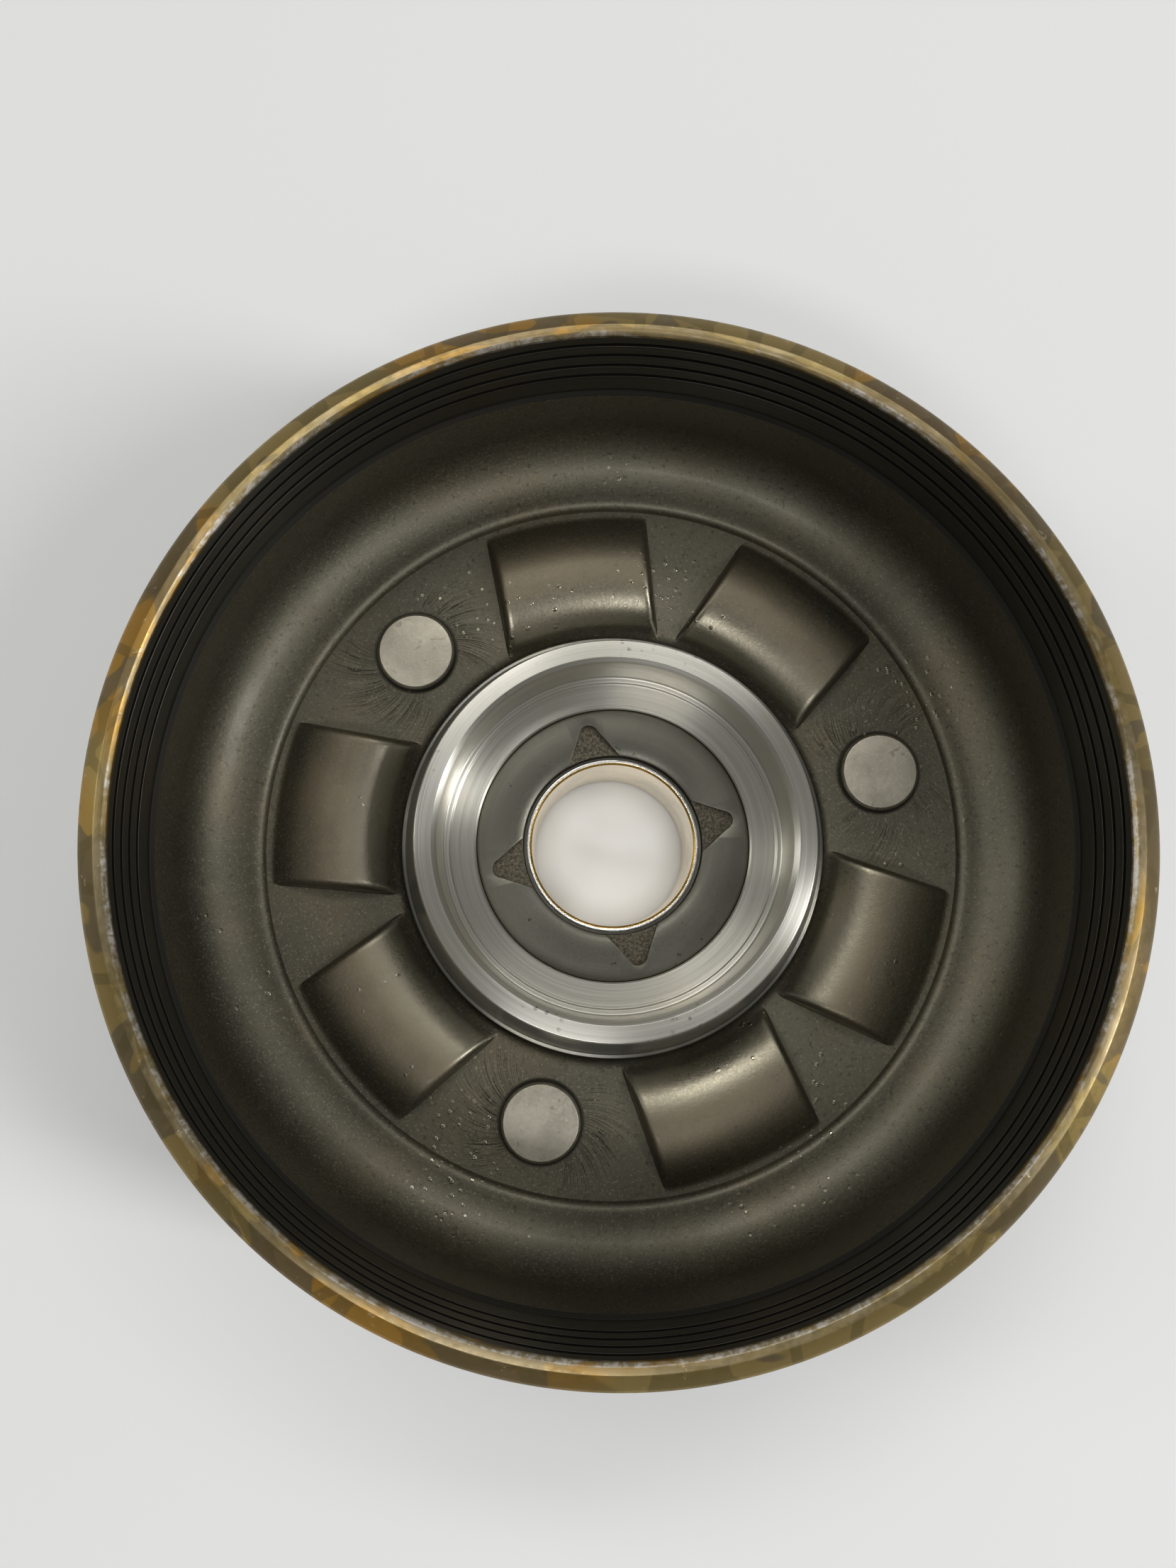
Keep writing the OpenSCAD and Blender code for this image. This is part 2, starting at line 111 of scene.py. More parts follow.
class HubSizes(bpy.types.PropertyGroup):
    bore_r: length("Bore radius", 13.5, "Radius of the bronze bore")
    lining_r: length("Shell radius", 13.85, "Inner radius of the steel shell of the bush")
    bush_r: length("Bush radius", 14.33, "Outer radius of the bush")
    counter_r: length("Counterbore radius", 14.93, "Radius of the counterbore round the bush")
    counter_h: length("Counterbore depth", 3, "Depth of the counterbore")
    dish_w: length("Dish width", 2.6, "Width of the shallow dish round the counterbore")
    dish_d: length("Dish depth", 0.4, "Depth of the dish")
    spigot_r: length("Spigot radius", 22.63, "Radius of the hub's spigot inside the race ring")
    boss_r: length("Boss radius", 26.49, "Radius of the boss that carries the driven plate")
    race_r: length("Race radius", 27.99, "Inner radius of the one-way clutch race")
    race_out_r: length("Race outer radius", 31.49, "Outer radius of the race at its open end")
    race_foot_r: length("Taper foot radius", 34.19, "Radius of the foot of the race's taper")
    race_floor_z: length("Race floor", 25.5, "Height of the race's turned floor")
    foot_top_z: length("Foot top", 24.9, "Height of the top of the race's foot")
    race_lead: length("Race lead-in", 0.8, "Chamfer at the mouth of the race")
    race_fillet: length("Race fillet", 1.2, "Fillet at the bottom of the race")
    recess_w: length("Recess width", 8, "Width of an oil recess at the bore")
    recess_tip_w: length("Recess tip width", 3.2, "Width of the rounded tip of an oil recess")
    recess_reach: length("Recess reach", 5.4, "Reach of an oil recess from the counterbore")
    recess_d: length("Recess depth", 1, "Depth of an oil recess")
    gear_w: length("Gear width", 11.85, "Width of the toothed ring")
    root_r: length("Root radius", 24.375, "Radius of the roots of the gear's teeth")
    module_size: length("Module", 2.5, "Module of the gear")
    tooth_chamfer: length("Tooth chamfer", 0.8, "Chamfer on the ends of the teeth")
    rear_recess_d: length("Rear recess depth", 1, "Depth of the recess in the gear's rear face")
    teeth: IntProperty(name="Teeth", description="Number of gear teeth", default=22, min=20, max=24)
    recesses: IntProperty(name="Oil recesses", description="Number of oil recesses", default=4, min=2, max=6)


class DamperSizes(bpy.types.PropertyGroup):
    spring_circle_r: length("Spring circle", 46.24, "Radius of the circle of spring axes")
    rivet_circle_r: length("Rivet circle", 46.74, "Radius of the circle of rivets")
    spring_z: length("Spring height", 15.15, "Height of the spring axes")
    spring_r: length("Spring radius", 7.65, "Outer radius of a spring")
    wire_r: length("Wire radius", 1.5, "Radius of the spring wire")
    tunnel_r: length("Tunnel radius", 8.05, "Radius of the room round a spring")
    spring_len: length("Spring length", 23.7, "Length of a spring at rest")
    pocket_len: length("Window length", 24, "Length of a spring window")
    window_half: length("Window half width", 8.1, "Half width of a spring window")
    collar_r: length("Collar radius", 6, "Outer radius of a rivet collar")
    shank_r: length("Shank radius", 4.5, "Radius of a rivet shank")
    head_r: length("Head radius", 6.5, "Radius of a rivet's flat head")
    tail_r: length("Tail radius", 6.3, "Radius of a rivet's closed tail")
    slot_room: length("Slot room", 6.3, "Half width of the slots that the collars move in")
    washer_t: length("Washer thickness", 0.5, "Thickness of the cone washer")
    coils: FloatProperty(name="Coils", description="Number of coils in a spring", default=5, min=4, max=6)
    pair_half: FloatProperty(name="Pair half angle", description="Angle from the middle of a pair of springs to each",
                             default=math.radians(22.8), subtype="ANGLE", unit="ROTATION")
    play: FloatProperty(name="Play", description="Turn of the gear each way against the drum",
                        default=math.radians(5), subtype="ANGLE", unit="ROTATION")


class Finishes(bpy.types.PropertyGroup):
    pressed: tint("Pressed steel", (0.136, 0.126, 0.096), "Oily pressed steel of the floor, web and pads")
    track: tint("Shoe track", (0.098, 0.096, 0.084), "Ground steel of the shoe track")
    varnish: tint("Rim varnish", (0.31, 0.225, 0.075), "Golden oil varnish on the rim")
    land: tint("Rim land", (0.42, 0.35, 0.22), "Worn flat land of the rim")
    outer: tint("Outer wall", (0.20, 0.17, 0.11), "Oil-stained outside of the drum")
    turned: tint("Turned steel", (0.62, 0.605, 0.55), "Bright turned steel of the race ring")
    hub: tint("Hub steel", (0.140, 0.136, 0.112), "Dark satin steel of the gear hub")
    rough: tint("Recess floor", (0.15, 0.132, 0.098), "Rough floors of the oil recesses")
    rivet: tint("Rivet steel", (0.45, 0.42, 0.345), "Pale satin steel of the rivets")
    plate: tint("Plate steel", (0.20, 0.195, 0.17), "Oiled steel of the damper plates")
    spring: tint("Spring steel", (0.22, 0.215, 0.20), "Oiled spring wire")
    shell: tint("Bush shell", (0.62, 0.61, 0.58), "Bare steel end of the bush")
    bronze: tint("Bronze", (0.84, 0.74, 0.56), "Bronze lining of the bore")
    bronze_edge: tint("Bronze edge", (0.74, 0.50, 0.15), "Golden end of the bronze lining")
    board: tint("Table", (0.84, 0.85, 0.86), "Plain pale table")


# ---------------------------------------------------------------- modelling helpers

def start_mesh(name, add, **settings):
    """Add one primitive with nothing else selected, and go into edit mode."""
    if bpy.context.object and bpy.context.object.mode != "OBJECT":
        bpy.ops.object.mode_set(mode="OBJECT")
    bpy.ops.object.select_all(action="DESELECT")
    add(**settings)
    piece = bpy.context.object
    piece.name = name
    piece.data.name = name
    bpy.ops.object.mode_set(mode="EDIT")
    bpy.ops.mesh.select_all(action="SELECT")
    return piece


def end_mesh(angle=30):
    """Merge, turn the faces outwards, smooth by angle and put the object's place in its mesh."""
    piece = bpy.context.object
    bpy.ops.mesh.select_all(action="SELECT")
    bpy.ops.mesh.remove_doubles(threshold=2e-6)
    bpy.ops.mesh.normals_make_consistent(inside=False)
    bpy.ops.object.mode_set(mode="OBJECT")
    bpy.ops.object.transform_apply(location=True, rotation=True, scale=True)
    bpy.ops.object.shade_smooth_by_angle(angle=math.radians(angle))
    return piece


def soften(corners, closed=True, steps=4):
    """Outline with its corners rounded: each corner is (radius, height, rounding) in metres."""
    out = []
    count = len(corners)
    for i, corner in enumerate(corners):
        here = Vector(corner[:2])
        size = corner[2] if len(corner) > 2 else 0
        if not size or (not closed and i in (0, count - 1)):
            out.append(here)
            continue
        before = Vector(corners[i - 1][:2]) - here
        after = Vector(corners[(i + 1) % count][:2]) - here
        half = before.angle(after) / 2
        reach = min(size / math.tan(half), 0.48 * before.length, 0.48 * after.length)
        a = here + before.normalized() * reach
        b = here + after.normalized() * reach
        for k in range(steps + 1):
            t = k / steps
            out.append(a * (1 - t) ** 2 + here * 2 * t * (1 - t) + b * t ** 2)
    return out


def arc(cx, cz, radius, first, last, steps):
    angles = [math.radians(first + (last - first) * k / steps) for k in range(steps + 1)]
    return [(cx + radius * math.cos(a), cz + radius * math.sin(a)) for a in angles]


def turned(name, outline, closed=True, steps=160, centre=(0, 0), angle=30):
    """Turn an outline round an upright axis: one point is extruded along it, then spun."""
    start_mesh(name, bpy.ops.mesh.primitive_plane_add, size=0.01)
    bpy.ops.mesh.merge(type="CENTER")
    here = Vector((outline[0][0], 0, outline[0][1]))
    bpy.ops.transform.translate(value=here)
    path = list(outline[1:]) + ([outline[0]] if closed else [])
    for point in path:
        there = Vector((point[0], 0, point[1]))
        bpy.ops.mesh.extrude_region_move(TRANSFORM_OT_translate={"value": there - here})
        here = there
    bpy.ops.mesh.select_all(action="SELECT")
    bpy.ops.mesh.spin(steps=steps, angle=math.tau, center=(0, 0, 0), axis=(0, 0, 1), use_auto_merge=True)
    bpy.ops.mesh.select_all(action="SELECT")
    bpy.ops.transform.translate(value=(centre[0], centre[1], 0))
    return end_mesh(angle)


def activate(piece):
    """Select one object only and make it the active one."""
    bpy.ops.object.select_all(action="DESELECT")
    piece.select_set(True)
    bpy.context.view_layer.objects.active = piece


def modify(piece, kind, **settings):
    """Add a modifier and apply it."""
    activate(piece)
    modifier = piece.modifiers.new(kind, kind)
    for key, value in settings.items():
        setattr(modifier, key, value)
    bpy.ops.object.modifier_apply(modifier=modifier.name)


def cut(piece, cutter, operation="DIFFERENCE"):
    modify(piece, "BOOLEAN", object=cutter, operation=operation, solver="EXACT")
    bpy.data.objects.remove(cutter, do_unlink=True)


def merge_close(piece, reach=4e-6):
    """Merge the vertices that a boolean or a bevel leaves almost in one place."""
    activate(piece)
    bpy.ops.object.mode_set(mode="EDIT")
    bpy.ops.mesh.select_all(action="SELECT")
    bpy.ops.mesh.remove_doubles(threshold=reach)
    bpy.ops.mesh.dissolve_degenerate(threshold=reach)
    bpy.ops.object.mode_set(mode="OBJECT")


def tidy_edges(piece, width, angle=35, segments=2):
    merge_close(piece)
    modify(piece, "BEVEL", width=width, segments=segments, limit_method="ANGLE",
           angle_limit=math.radians(angle), harden_normals=False, miter_outer="MITER_ARC")
    merge_close(piece)
    bpy.ops.object.shade_smooth_by_angle(angle=math.radians(40))


def slab(name, outline, bottom, height):
    """A flat outline made solid by one extrusion."""
    piece = start_mesh(name, bpy.ops.mesh.primitive_circle_add, vertices=len(outline),
                       radius=0.01, fill_type="NGON")
    mesh = bmesh.from_edit_mesh(piece.data)
    for vertex, point in zip(mesh.verts, outline):
        vertex.co = (point[0], point[1], bottom)
    bmesh.update_edit_mesh(piece.data)
    bpy.ops.mesh.extrude_region_move(TRANSFORM_OT_translate={"value": (0, 0, height)})
    return end_mesh()


def rod(name, radius, depth, location, turn_z):
    """A rod that lies flat, along the circle's tangent at its place."""
    start_mesh(name, bpy.ops.mesh.primitive_cylinder_add, vertices=64, radius=radius, depth=depth,
               location=location, rotation=(math.pi / 2, 0, turn_z))
    return end_mesh()


def turn_points(points, angle):
    """Points (x, y) turned about the bore's axis."""
    c, n = math.cos(angle), math.sin(angle)
    return [(x * c - y * n, x * n + y * c) for x, y in points]


def copy_turned(piece, name, turn):
    """A copy with its own mesh, turned about the bore's axis."""
    twin = piece.copy()
    twin.data = piece.data.copy()
    twin.name = name
    twin.data.name = name
    bpy.context.scene.collection.objects.link(twin)
    twin.data.transform(Matrix.Rotation(turn, 4, "Z"))
    return twin


def seat(piece, node, body, slot, *finishes):
    """Give a piece its finishes and its body, and hide the CAD node that it stands for."""
    for finish in finishes:
        piece.data.materials.append(finish)
    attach(piece, body)
    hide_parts(node)
    return piece


def spring_angles(sizes):
    return [SECTOR * (i + 0.5) + side * sizes.pair_half for i in range(COUNT) for side in (-1, 1)]


# ---------------------------------------------------------------- finish helpers

class Finish:
    """A finish, built node by node. Its x, y, z and r are in mm, and its place in metres."""

    def __init__(self, name):
        self.material = bpy.data.materials.new(name)
        self.material.use_nodes = True
        self.tree = self.material.node_tree
        self.tree.nodes.clear()
        output = self.tree.nodes.new("ShaderNodeOutputMaterial")
        self.shader = self.tree.nodes.new("ShaderNodeBsdfPrincipled")
        self.tree.links.new(self.shader.outputs[0], output.inputs[0])
        self.place = self.node("ShaderNodeTexCoord").outputs["Object"]
        parts = self.node("ShaderNodeSeparateXYZ", {0: self.place})
        self.x, self.y, self.z = [self.mul(parts.outputs[k], 1000) for k in range(3)]
        self.r = self.math("SQRT", self.add(self.mul(self.x, self.x), self.mul(self.y, self.y)))
        self.angle = self.math("ARCTAN2", self.y, self.x)

    def feed(self, node, inputs):
        """Link the sockets and set the numbers among a node's inputs."""
        for key, value in inputs.items():
            if isinstance(value, bpy.types.NodeSocket):
                self.tree.links.new(value, node.inputs[key])
            else:
                node.inputs[key].default_value = value

    def node(self, kind, inputs=None, **settings):
        node = self.tree.nodes.new(kind)
        for key, value in settings.items():
            setattr(node, key, value)
        self.feed(node, inputs or {})
        return node

    def math(self, operation, a, b=0.0):
        return self.node("ShaderNodeMath", {0: a, 1: b}, operation=operation).outputs[0]

    def mul(self, a, b):
        return self.math("MULTIPLY", a, b)

    def add(self, a, b):
        return self.math("ADD", a, b)

    def sub(self, a, b):
        return self.math("SUBTRACT", a, b)

    def div(self, a, b):
        return self.math("DIVIDE", a, b)

    def between(self, value, first, last, out_first=0.0, out_last=1.0, smooth=True):
        kind = "SMOOTHSTEP" if smooth else "LINEAR"
        return self.node("ShaderNodeMapRange", {0: value, 1: first, 2: last, 3: out_first, 4: out_last},
                         interpolation_type=kind).outputs[0]

    def vector(self, x, y, z):
        return self.node("ShaderNodeCombineXYZ", {0: x, 1: y, 2: z}).outputs[0]

    def noise(self, vector, scale, detail=3.0, rough=0.55, distortion=0.0):
        return self.node("ShaderNodeTexNoise", {"Vector": vector, "Scale": scale, "Detail": detail,
                                                "Roughness": rough, "Distortion": distortion}).outputs["Fac"]

    def cells(self, vector, scale, feature="F1"):
        return self.node("ShaderNodeTexVoronoi", {"Vector": vector, "Scale": scale},
                         feature=feature).outputs["Distance"]

    def mix(self, amount, a, b):
        """Colour that goes from a to b as the amount goes from 0 to 1."""
        a, b = [c if isinstance(c, bpy.types.NodeSocket) else (*c, 1) for c in (a, b)]
        return self.node("ShaderNodeMix", {0: amount, 6: a, 7: b}, data_type="RGBA").outputs[2]

    def around(self, count, along):
        """Place for a pattern that goes round the axis without a seam and changes with a second value."""
        return self.vector(self.mul(self.div(self.x, self.r), count), self.mul(self.div(self.y, self.r), count), along)

    def ring_lines(self, spacing, reach=0.6):
        """Lines round the axis, finely spaced in radius and height, that break up round the turn."""
        across = self.div(self.add(self.r, self.mul(self.z, 1.3)), spacing)
        return self.noise(self.around(reach, across), 1.0, 2.0, 0.7)

    def streaks(self, count, along):
        """Streaks that run out from the axis."""
        return self.noise(self.around(count, self.mul(self.add(self.r, self.z), along)), 1.0, 3.0, 0.6)

    def finish(self, colour, rough, height, depth, metallic=1.0, specular=0.5, anisotropy=0.0, coat=0.0):
        """Feed the shader and give back the material. Depth is the bump's, in mm."""
        bump = self.node("ShaderNodeBump", {"Strength": 1.0, "Distance": depth * MM, "Height": height})
        self.feed(self.shader, {"Base Color": colour, "Roughness": rough, "Metallic": metallic,
                                "Specular IOR Level": specular, "Anisotropic": anisotropy, "Coat Weight": coat,
                                "Coat Roughness": 0.2, "Normal": bump.outputs[0]})
        if anisotropy:
            tangent = self.node("ShaderNodeTangent", direction_type="RADIAL", axis="Z")
            self.feed(self.shader, {"Anisotropic Rotation": 0.25, "Tangent": tangent.outputs[0]})
        return self.material


def scaled(colour, *shares):
    """A colour times one share, or times one share for each channel."""
    return tuple(c * k for c, k in zip(colour, shares if len(shares) == 3 else shares * 3))


def pressed_steel(colour, rivet_circle, spring_circle, pad_z):
    """Oily pressed steel: satin, fine grain, wet speckles that are painted lighter as glints, strain lines round the
    rivets, painted radial reflection streaks, a painted highlight on the pads' inner shoulders and painted shadow round
    the rivet heads.
    """
    f = Finish("pressed_steel")
    grain = f.noise(f.place, 2600, 4, 0.65)
    mottle = f.noise(f.place, 55, 5, 0.6)
    cloud = f.noise(f.place, 14, 3, 0.5)
    painted_sheen_streaks = f.streaks(26, 0.05)
    # strain lines fan out from each rivet
    turn = f.div(f.angle, SECTOR)
    third = f.math("ROUND", turn)
    local = f.mul(f.sub(turn, third), SECTOR)
    dx = f.sub(f.mul(f.r, f.math("COSINE", local)), rivet_circle)
    dy = f.mul(f.r, f.math("SINE", local))
    rr = f.math("SQRT", f.add(f.mul(dx, dx), f.mul(dy, dy)))
    phi = f.math("ARCTAN2", dy, dx)
    bend = f.add(phi, f.mul(f.sub(rr, 6.5), 0.045))
    fan = f.noise(f.vector(f.mul(f.math("COSINE", bend), 9.0),
                           f.mul(f.math("SINE", bend), 9.0),
                           f.add(f.mul(third, 5.7), f.mul(rr, 0.03))),
                  1.0, 1.0, 0.5)
    thin = f.math("ABSOLUTE", f.sub(f.math("FRACT", f.mul(fan, 11)), 0.5))
    lines = f.between(thin, 0.16, 0.02)
    beside = f.between(f.math("ABSOLUTE", f.math("SINE", phi)), 0.35, 0.8)
    near = f.mul(f.between(rr, 6.2, 8.0), f.between(rr, 17.5, 9.0))
    strain = f.mul(f.mul(lines, near), beside)
    strain = f.mul(strain, f.between(mottle, 0.35, 0.55))
    strain = f.mul(strain, f.between(f.z, 24.0, 22.6))
    halo = f.between(rr, 12.0, 6.0, 0.0, 0.5)
    c = f.mix(f.between(cloud, 0.35, 0.65), scaled(colour, 0.80), scaled(colour, 1.16))
    c = f.mix(f.between(mottle, 0.42, 0.68, 0, 0.45), c, scaled(colour, 1.25, 1.12, 0.95))
    # painted reflection: radial streaks painted lighter in the colour
    c = f.mix(f.between(painted_sheen_streaks, 0.5, 0.75, 0, 0.25), c, scaled(colour, 1.35))
    c = f.mix(halo, c, scaled(colour, 0.62))
    c = f.mix(f.mul(strain, 0.95), c, scaled(colour, 0.2))
    c = f.mix(f.between(grain, 0.54, 0.68, 0, 0.7), c, scaled(colour, 2.1))
    c = f.mix(f.between(f.noise(f.place, 1250, 3, 0.7), 0.46, 0.28, 0, 0.7), c, scaled(colour, 0.5))
    worn = f.mul(f.between(f.z, 24.2, 26.0), f.between(f.r, 58.5, 56.5))
    c = f.mix(f.mul(worn, f.between(mottle, 0.3, 0.7, 0.35, 0.75)), c, scaled(colour, 1.75, 1.6, 1.45))
    # dark ring round each rivet head: the seam at its edge, with painted shadow
    c = f.mix(f.between(rr, 7.4, 6.75, 0, 0.85), c, scaled(colour, 0.12))
    # drops and films of oil; the drops are also painted lighter, as glints
    drops = f.cells(f.place, 620)
    wet = f.mul(f.between(drops, 0.26, 0.14), f.between(f.noise(f.place, 38, 4, 0.7), 0.56, 0.62))
    film = f.between(f.noise(f.place, 22, 4, 0.6, 0.6), 0.42, 0.62)
    shoulder = f.mul(f.between(f.z, pad_z + 0.4, pad_z + 1.2), f.between(f.r, spring_circle, spring_circle - 5))
    rough = f.sub(f.between(grain, 0.3, 0.7, 0.52, 0.66, False), f.mul(film, 0.08))
    # painted highlight: the inner half of each pad is painted lighter
    c = f.mix(f.mul(shoulder, f.between(mottle, 0.3, 0.6, 0.5, 0.9)), c, scaled(colour, 1.9))
    # painted glints: the oil drops are painted lighter
    c = f.mix(f.mul(wet, 0.6), c, scaled(colour, 2.8))
    rough = f.sub(rough, f.mul(shoulder, 0.20))
    rough = f.sub(rough, f.mul(wet, 0.34))
    coarse = f.noise(f.place, 1100, 3, 0.6)
    height = f.add(f.mul(grain, f.between(shoulder, 0.0, 1.0, 0.5, 0.2)), f.mul(wet, 1.3))
    height = f.add(height, f.add(f.mul(mottle, 0.8), f.mul(coarse, 0.5)))
    height = f.sub(height, f.mul(strain, 0.7))
    return f.finish(c, rough, height, 0.05, coat=0.08)


def track_steel(colour, track_r, shoulder_z):
    """Ground track: fine lines round the wall, dark with oil, with painted shade in the grooves and on the step below
    the track.
    """
    f = Finish("track_steel")
    lines = f.ring_lines(0.10)
    broad = f.ring_lines(1.1, 2.2)
    cloud = f.noise(f.place, 30, 4, 0.6)
    c = f.mix(f.between(lines, 0.35, 0.7), scaled(colour, 0.6), scaled(colour, 1.35))
    c = f.mix(f.between(broad, 0.4, 0.65, 0, 0.5), c, scaled(colour, 0.7))
    c = f.mix(f.between(cloud, 0.5, 0.7, 0, 0.35), c, scaled(colour, 1.3, 1.1, 0.8))
    # painted shade: the grooves and the downward step below the track are painted much darker; they are rougher too
    sunk = f.between(f.r, track_r + 0.008, track_r + 0.04)
    shoulder = f.between(f.z, shoulder_z + 0.7, shoulder_z + 0.55)
    painted_groove_shade = f.math("MAXIMUM", sunk, f.mul(shoulder, 0.7))
    c = f.mix(painted_groove_shade, c, scaled(colour, 0.10))
    rough = f.add(f.between(lines, 0.3, 0.7, 0.26, 0.44, False), f.mul(painted_groove_shade, 0.45))
    height = f.add(lines, f.mul(broad, 0.8))
    return f.finish(c, rough, height, 0.02, anisotropy=0.3)


def rim_varnish(colour, land, rim_z, land_out):
    """Rim: golden oil varnish with dark slanted patches and tool lines, and a worn, paler land."""
    f = Finish("rim_varnish")
    lines = f.ring_lines(0.16)
    patch_at = f.around(5.0, f.mul(f.add(f.z, f.r), 0.22))
    patches = f.noise(patch_at, 1.0, 2, 0.55, 0.8)
    stains = f.cells(patch_at, 1.7, "DISTANCE_TO_EDGE")
    fine = f.noise(f.place, 900, 4, 0.7)
    amber = scaled(colour, 1.25, 0.95, 0.45)
    brown = scaled(colour, 0.50, 0.53, 0.85)
    c = f.mix(f.between(f.noise(patch_at, 0.55, 2, 0.5), 0.47, 0.55), colour, amber)
    c = f.mix(f.between(patches, 0.50, 0.525, 0, 0.85), c, brown)
    c = f.mix(f.between(stains, 0.10, 0.07, 0, 0.5), c, scaled(colour, 0.42))
    c = f.mix(f.between(lines, 0.5, 0.72, 0, 0.30), c, scaled(colour, 1.4, 1.4, 1.6))
    cloud = f.noise(patch_at, 0.8, 4, 0.7)
    on_land = f.mul(f.between(f.r, land_out + 0.25, land_out - 0.15), f.between(f.z, rim_z - 0.7, rim_z - 0.2))
    c = f.mix(f.mul(on_land, f.between(cloud, 0.42, 0.62, 0.15, 0.6)), c, land)
    chamfer = f.mul(f.between(f.r, land_out - 0.9, land_out - 1.15), f.between(cloud, 0.44, 0.56, 0.05, 0.85))
    speck = f.between(f.noise(f.place, 900, 3, 0.7), 0.42, 0.6)
    c = f.mix(chamfer, c, f.mix(speck, scaled(land, 0.8), (land[0] * 1.35, land[0] * 1.3, land[0] * 1.22)))
    nick = f.between(f.noise(f.place, 480, 3, 0.6), 0.66, 0.74)
    c = f.mix(f.mul(nick, 0.5), c, scaled(land, 1.4))
    rough = f.between(fine, 0.3, 0.7, 0.30, 0.46, False)
    height = f.sub(f.add(lines, f.mul(fine, 0.5)), f.mul(nick, 1.2))
    return f.finish(c, rough, height, 0.012, anisotropy=0.6, coat=0.06)


def outer_steel(colour):
    """Outside of the drum: turned above, pressed round the fillet, with oil varnish and rub marks."""
    f = Finish("outer_steel")
    lines = f.ring_lines(0.22)
    cloud = f.noise(f.place, 26, 5, 0.6)
    rub = f.noise(f.around(5, f.mul(f.z, 0.35)), 1.0, 4, 0.7)
    grain = f.noise(f.place, 2200, 3, 0.6)
    c = f.mix(f.between(cloud, 0.38, 0.62), scaled(colour, 0.7), scaled(colour, 1.2))
    c = f.mix(f.between(rub, 0.56, 0.7, 0, 0.6), c, scaled(colour, 1.6, 1.7, 1.9))
    c = f.mix(f.between(lines, 0.5, 0.75, 0, 0.4), c, scaled(colour, 0.5))
    rough = f.between(cloud, 0.3, 0.7, 0.28, 0.46, False)
    return f.finish(c, rough, f.add(lines, f.mul(grain, 0.5)), 0.018, anisotropy=0.25, coat=0.1)


def turned_steel(colour, top_z, out_r):
    """Bright turned steel: tool lines, nicks on the top edge, oil mottling."""
    f = Finish("turned_steel")
    lines = f.ring_lines(0.09)
    bands = f.ring_lines(0.9, 0.5)
    cloud = f.noise(f.place, 60, 4, 0.6)
    on_top = f.between(f.z, top_z - 0.6, top_z - 0.2)
    spots = f.between(f.cells(f.place, 620), 0.30, 0.16)
    patch = f.between(f.noise(f.place, 42, 4, 0.65), 0.50, 0.60)
    nick = f.mul(f.mul(spots, patch), on_top)
    c = f.mix(f.between(lines, 0.35, 0.7), scaled(colour, 0.88), scaled(colour, 1.1))
    c = f.mix(f.between(bands, 0.42, 0.62, 0, 0.28), c, scaled(colour, 0.66))
    c = f.mix(f.between(f.r, out_r + 0.05, out_r + 0.35, 0, 0.85), c, scaled(colour, 0.30))
    c = f.mix(f.mul(f.between(cloud, 0.5, 0.64), 0.28), c, scaled(colour, 0.92, 0.86, 0.74))
    c = f.mix(f.mul(nick, 0.5), c, scaled(colour, 0.5))
    rough = f.between(lines, 0.3, 0.7, 0.27, 0.35, False)
    rough = f.sub(rough, f.mul(nick, 0.08))
    height = f.add(f.mul(lines, 0.55), f.mul(nick, 1.6))
    height = f.add(height, f.mul(bands, 0.5))
    return f.finish(c, rough, height, 0.006, anisotropy=0.9)


def hub_steel(colour, rough_colour, face_z, recess_d, seam_r):
    """Dark satin hub: smooth face, rough recess floors, oil in the seam round the spigot."""
    f = Finish("hub_steel")
    grain = f.noise(f.place, 2400, 4, 0.6)
    cloud = f.noise(f.place, 48, 4, 0.55)
    lines = f.ring_lines(0.5, 0.8)
    pits = f.noise(f.place, 2000, 5, 0.8)
    low_floor = f.mul(f.between(f.z, face_z - recess_d * 0.75, face_z - recess_d * 0.9),
                       f.between(f.z, face_z - recess_d - 0.6, face_z - recess_d - 0.3))
    c = f.mix(f.between(cloud, 0.36, 0.64), scaled(colour, 0.88), scaled(colour, 1.12))
    c = f.mix(f.between(lines, 0.5, 0.7, 0, 0.22), c, scaled(colour, 1.3))
    c = f.mix(f.between(f.math("ABSOLUTE", f.sub(f.r, seam_r)), 0.7, 0.1, 0, 0.75), c,
              scaled(colour, 0.5, 0.46, 0.3))
    c = f.mix(low_floor, c, f.mix(f.between(pits, 0.4, 0.65), scaled(rough_colour, 0.35), scaled(rough_colour, 1.15)))
    c = f.mix(f.between(f.noise(f.place, 700, 2, 0.5), 0.70, 0.76, 0, 0.8), c, scaled(colour, 0.3))
    smooth_rough = f.between(grain, 0.3, 0.7, 0.36, 0.47, False)
    rough = f.add(smooth_rough, f.mul(low_floor, 0.12))
    height = f.add(f.mul(grain, 0.18), f.mul(f.mul(pits, low_floor), 5.0))
    height = f.add(height, f.mul(cloud, 0.4))
    return f.finish(c, rough, height, 0.02, coat=0.06)


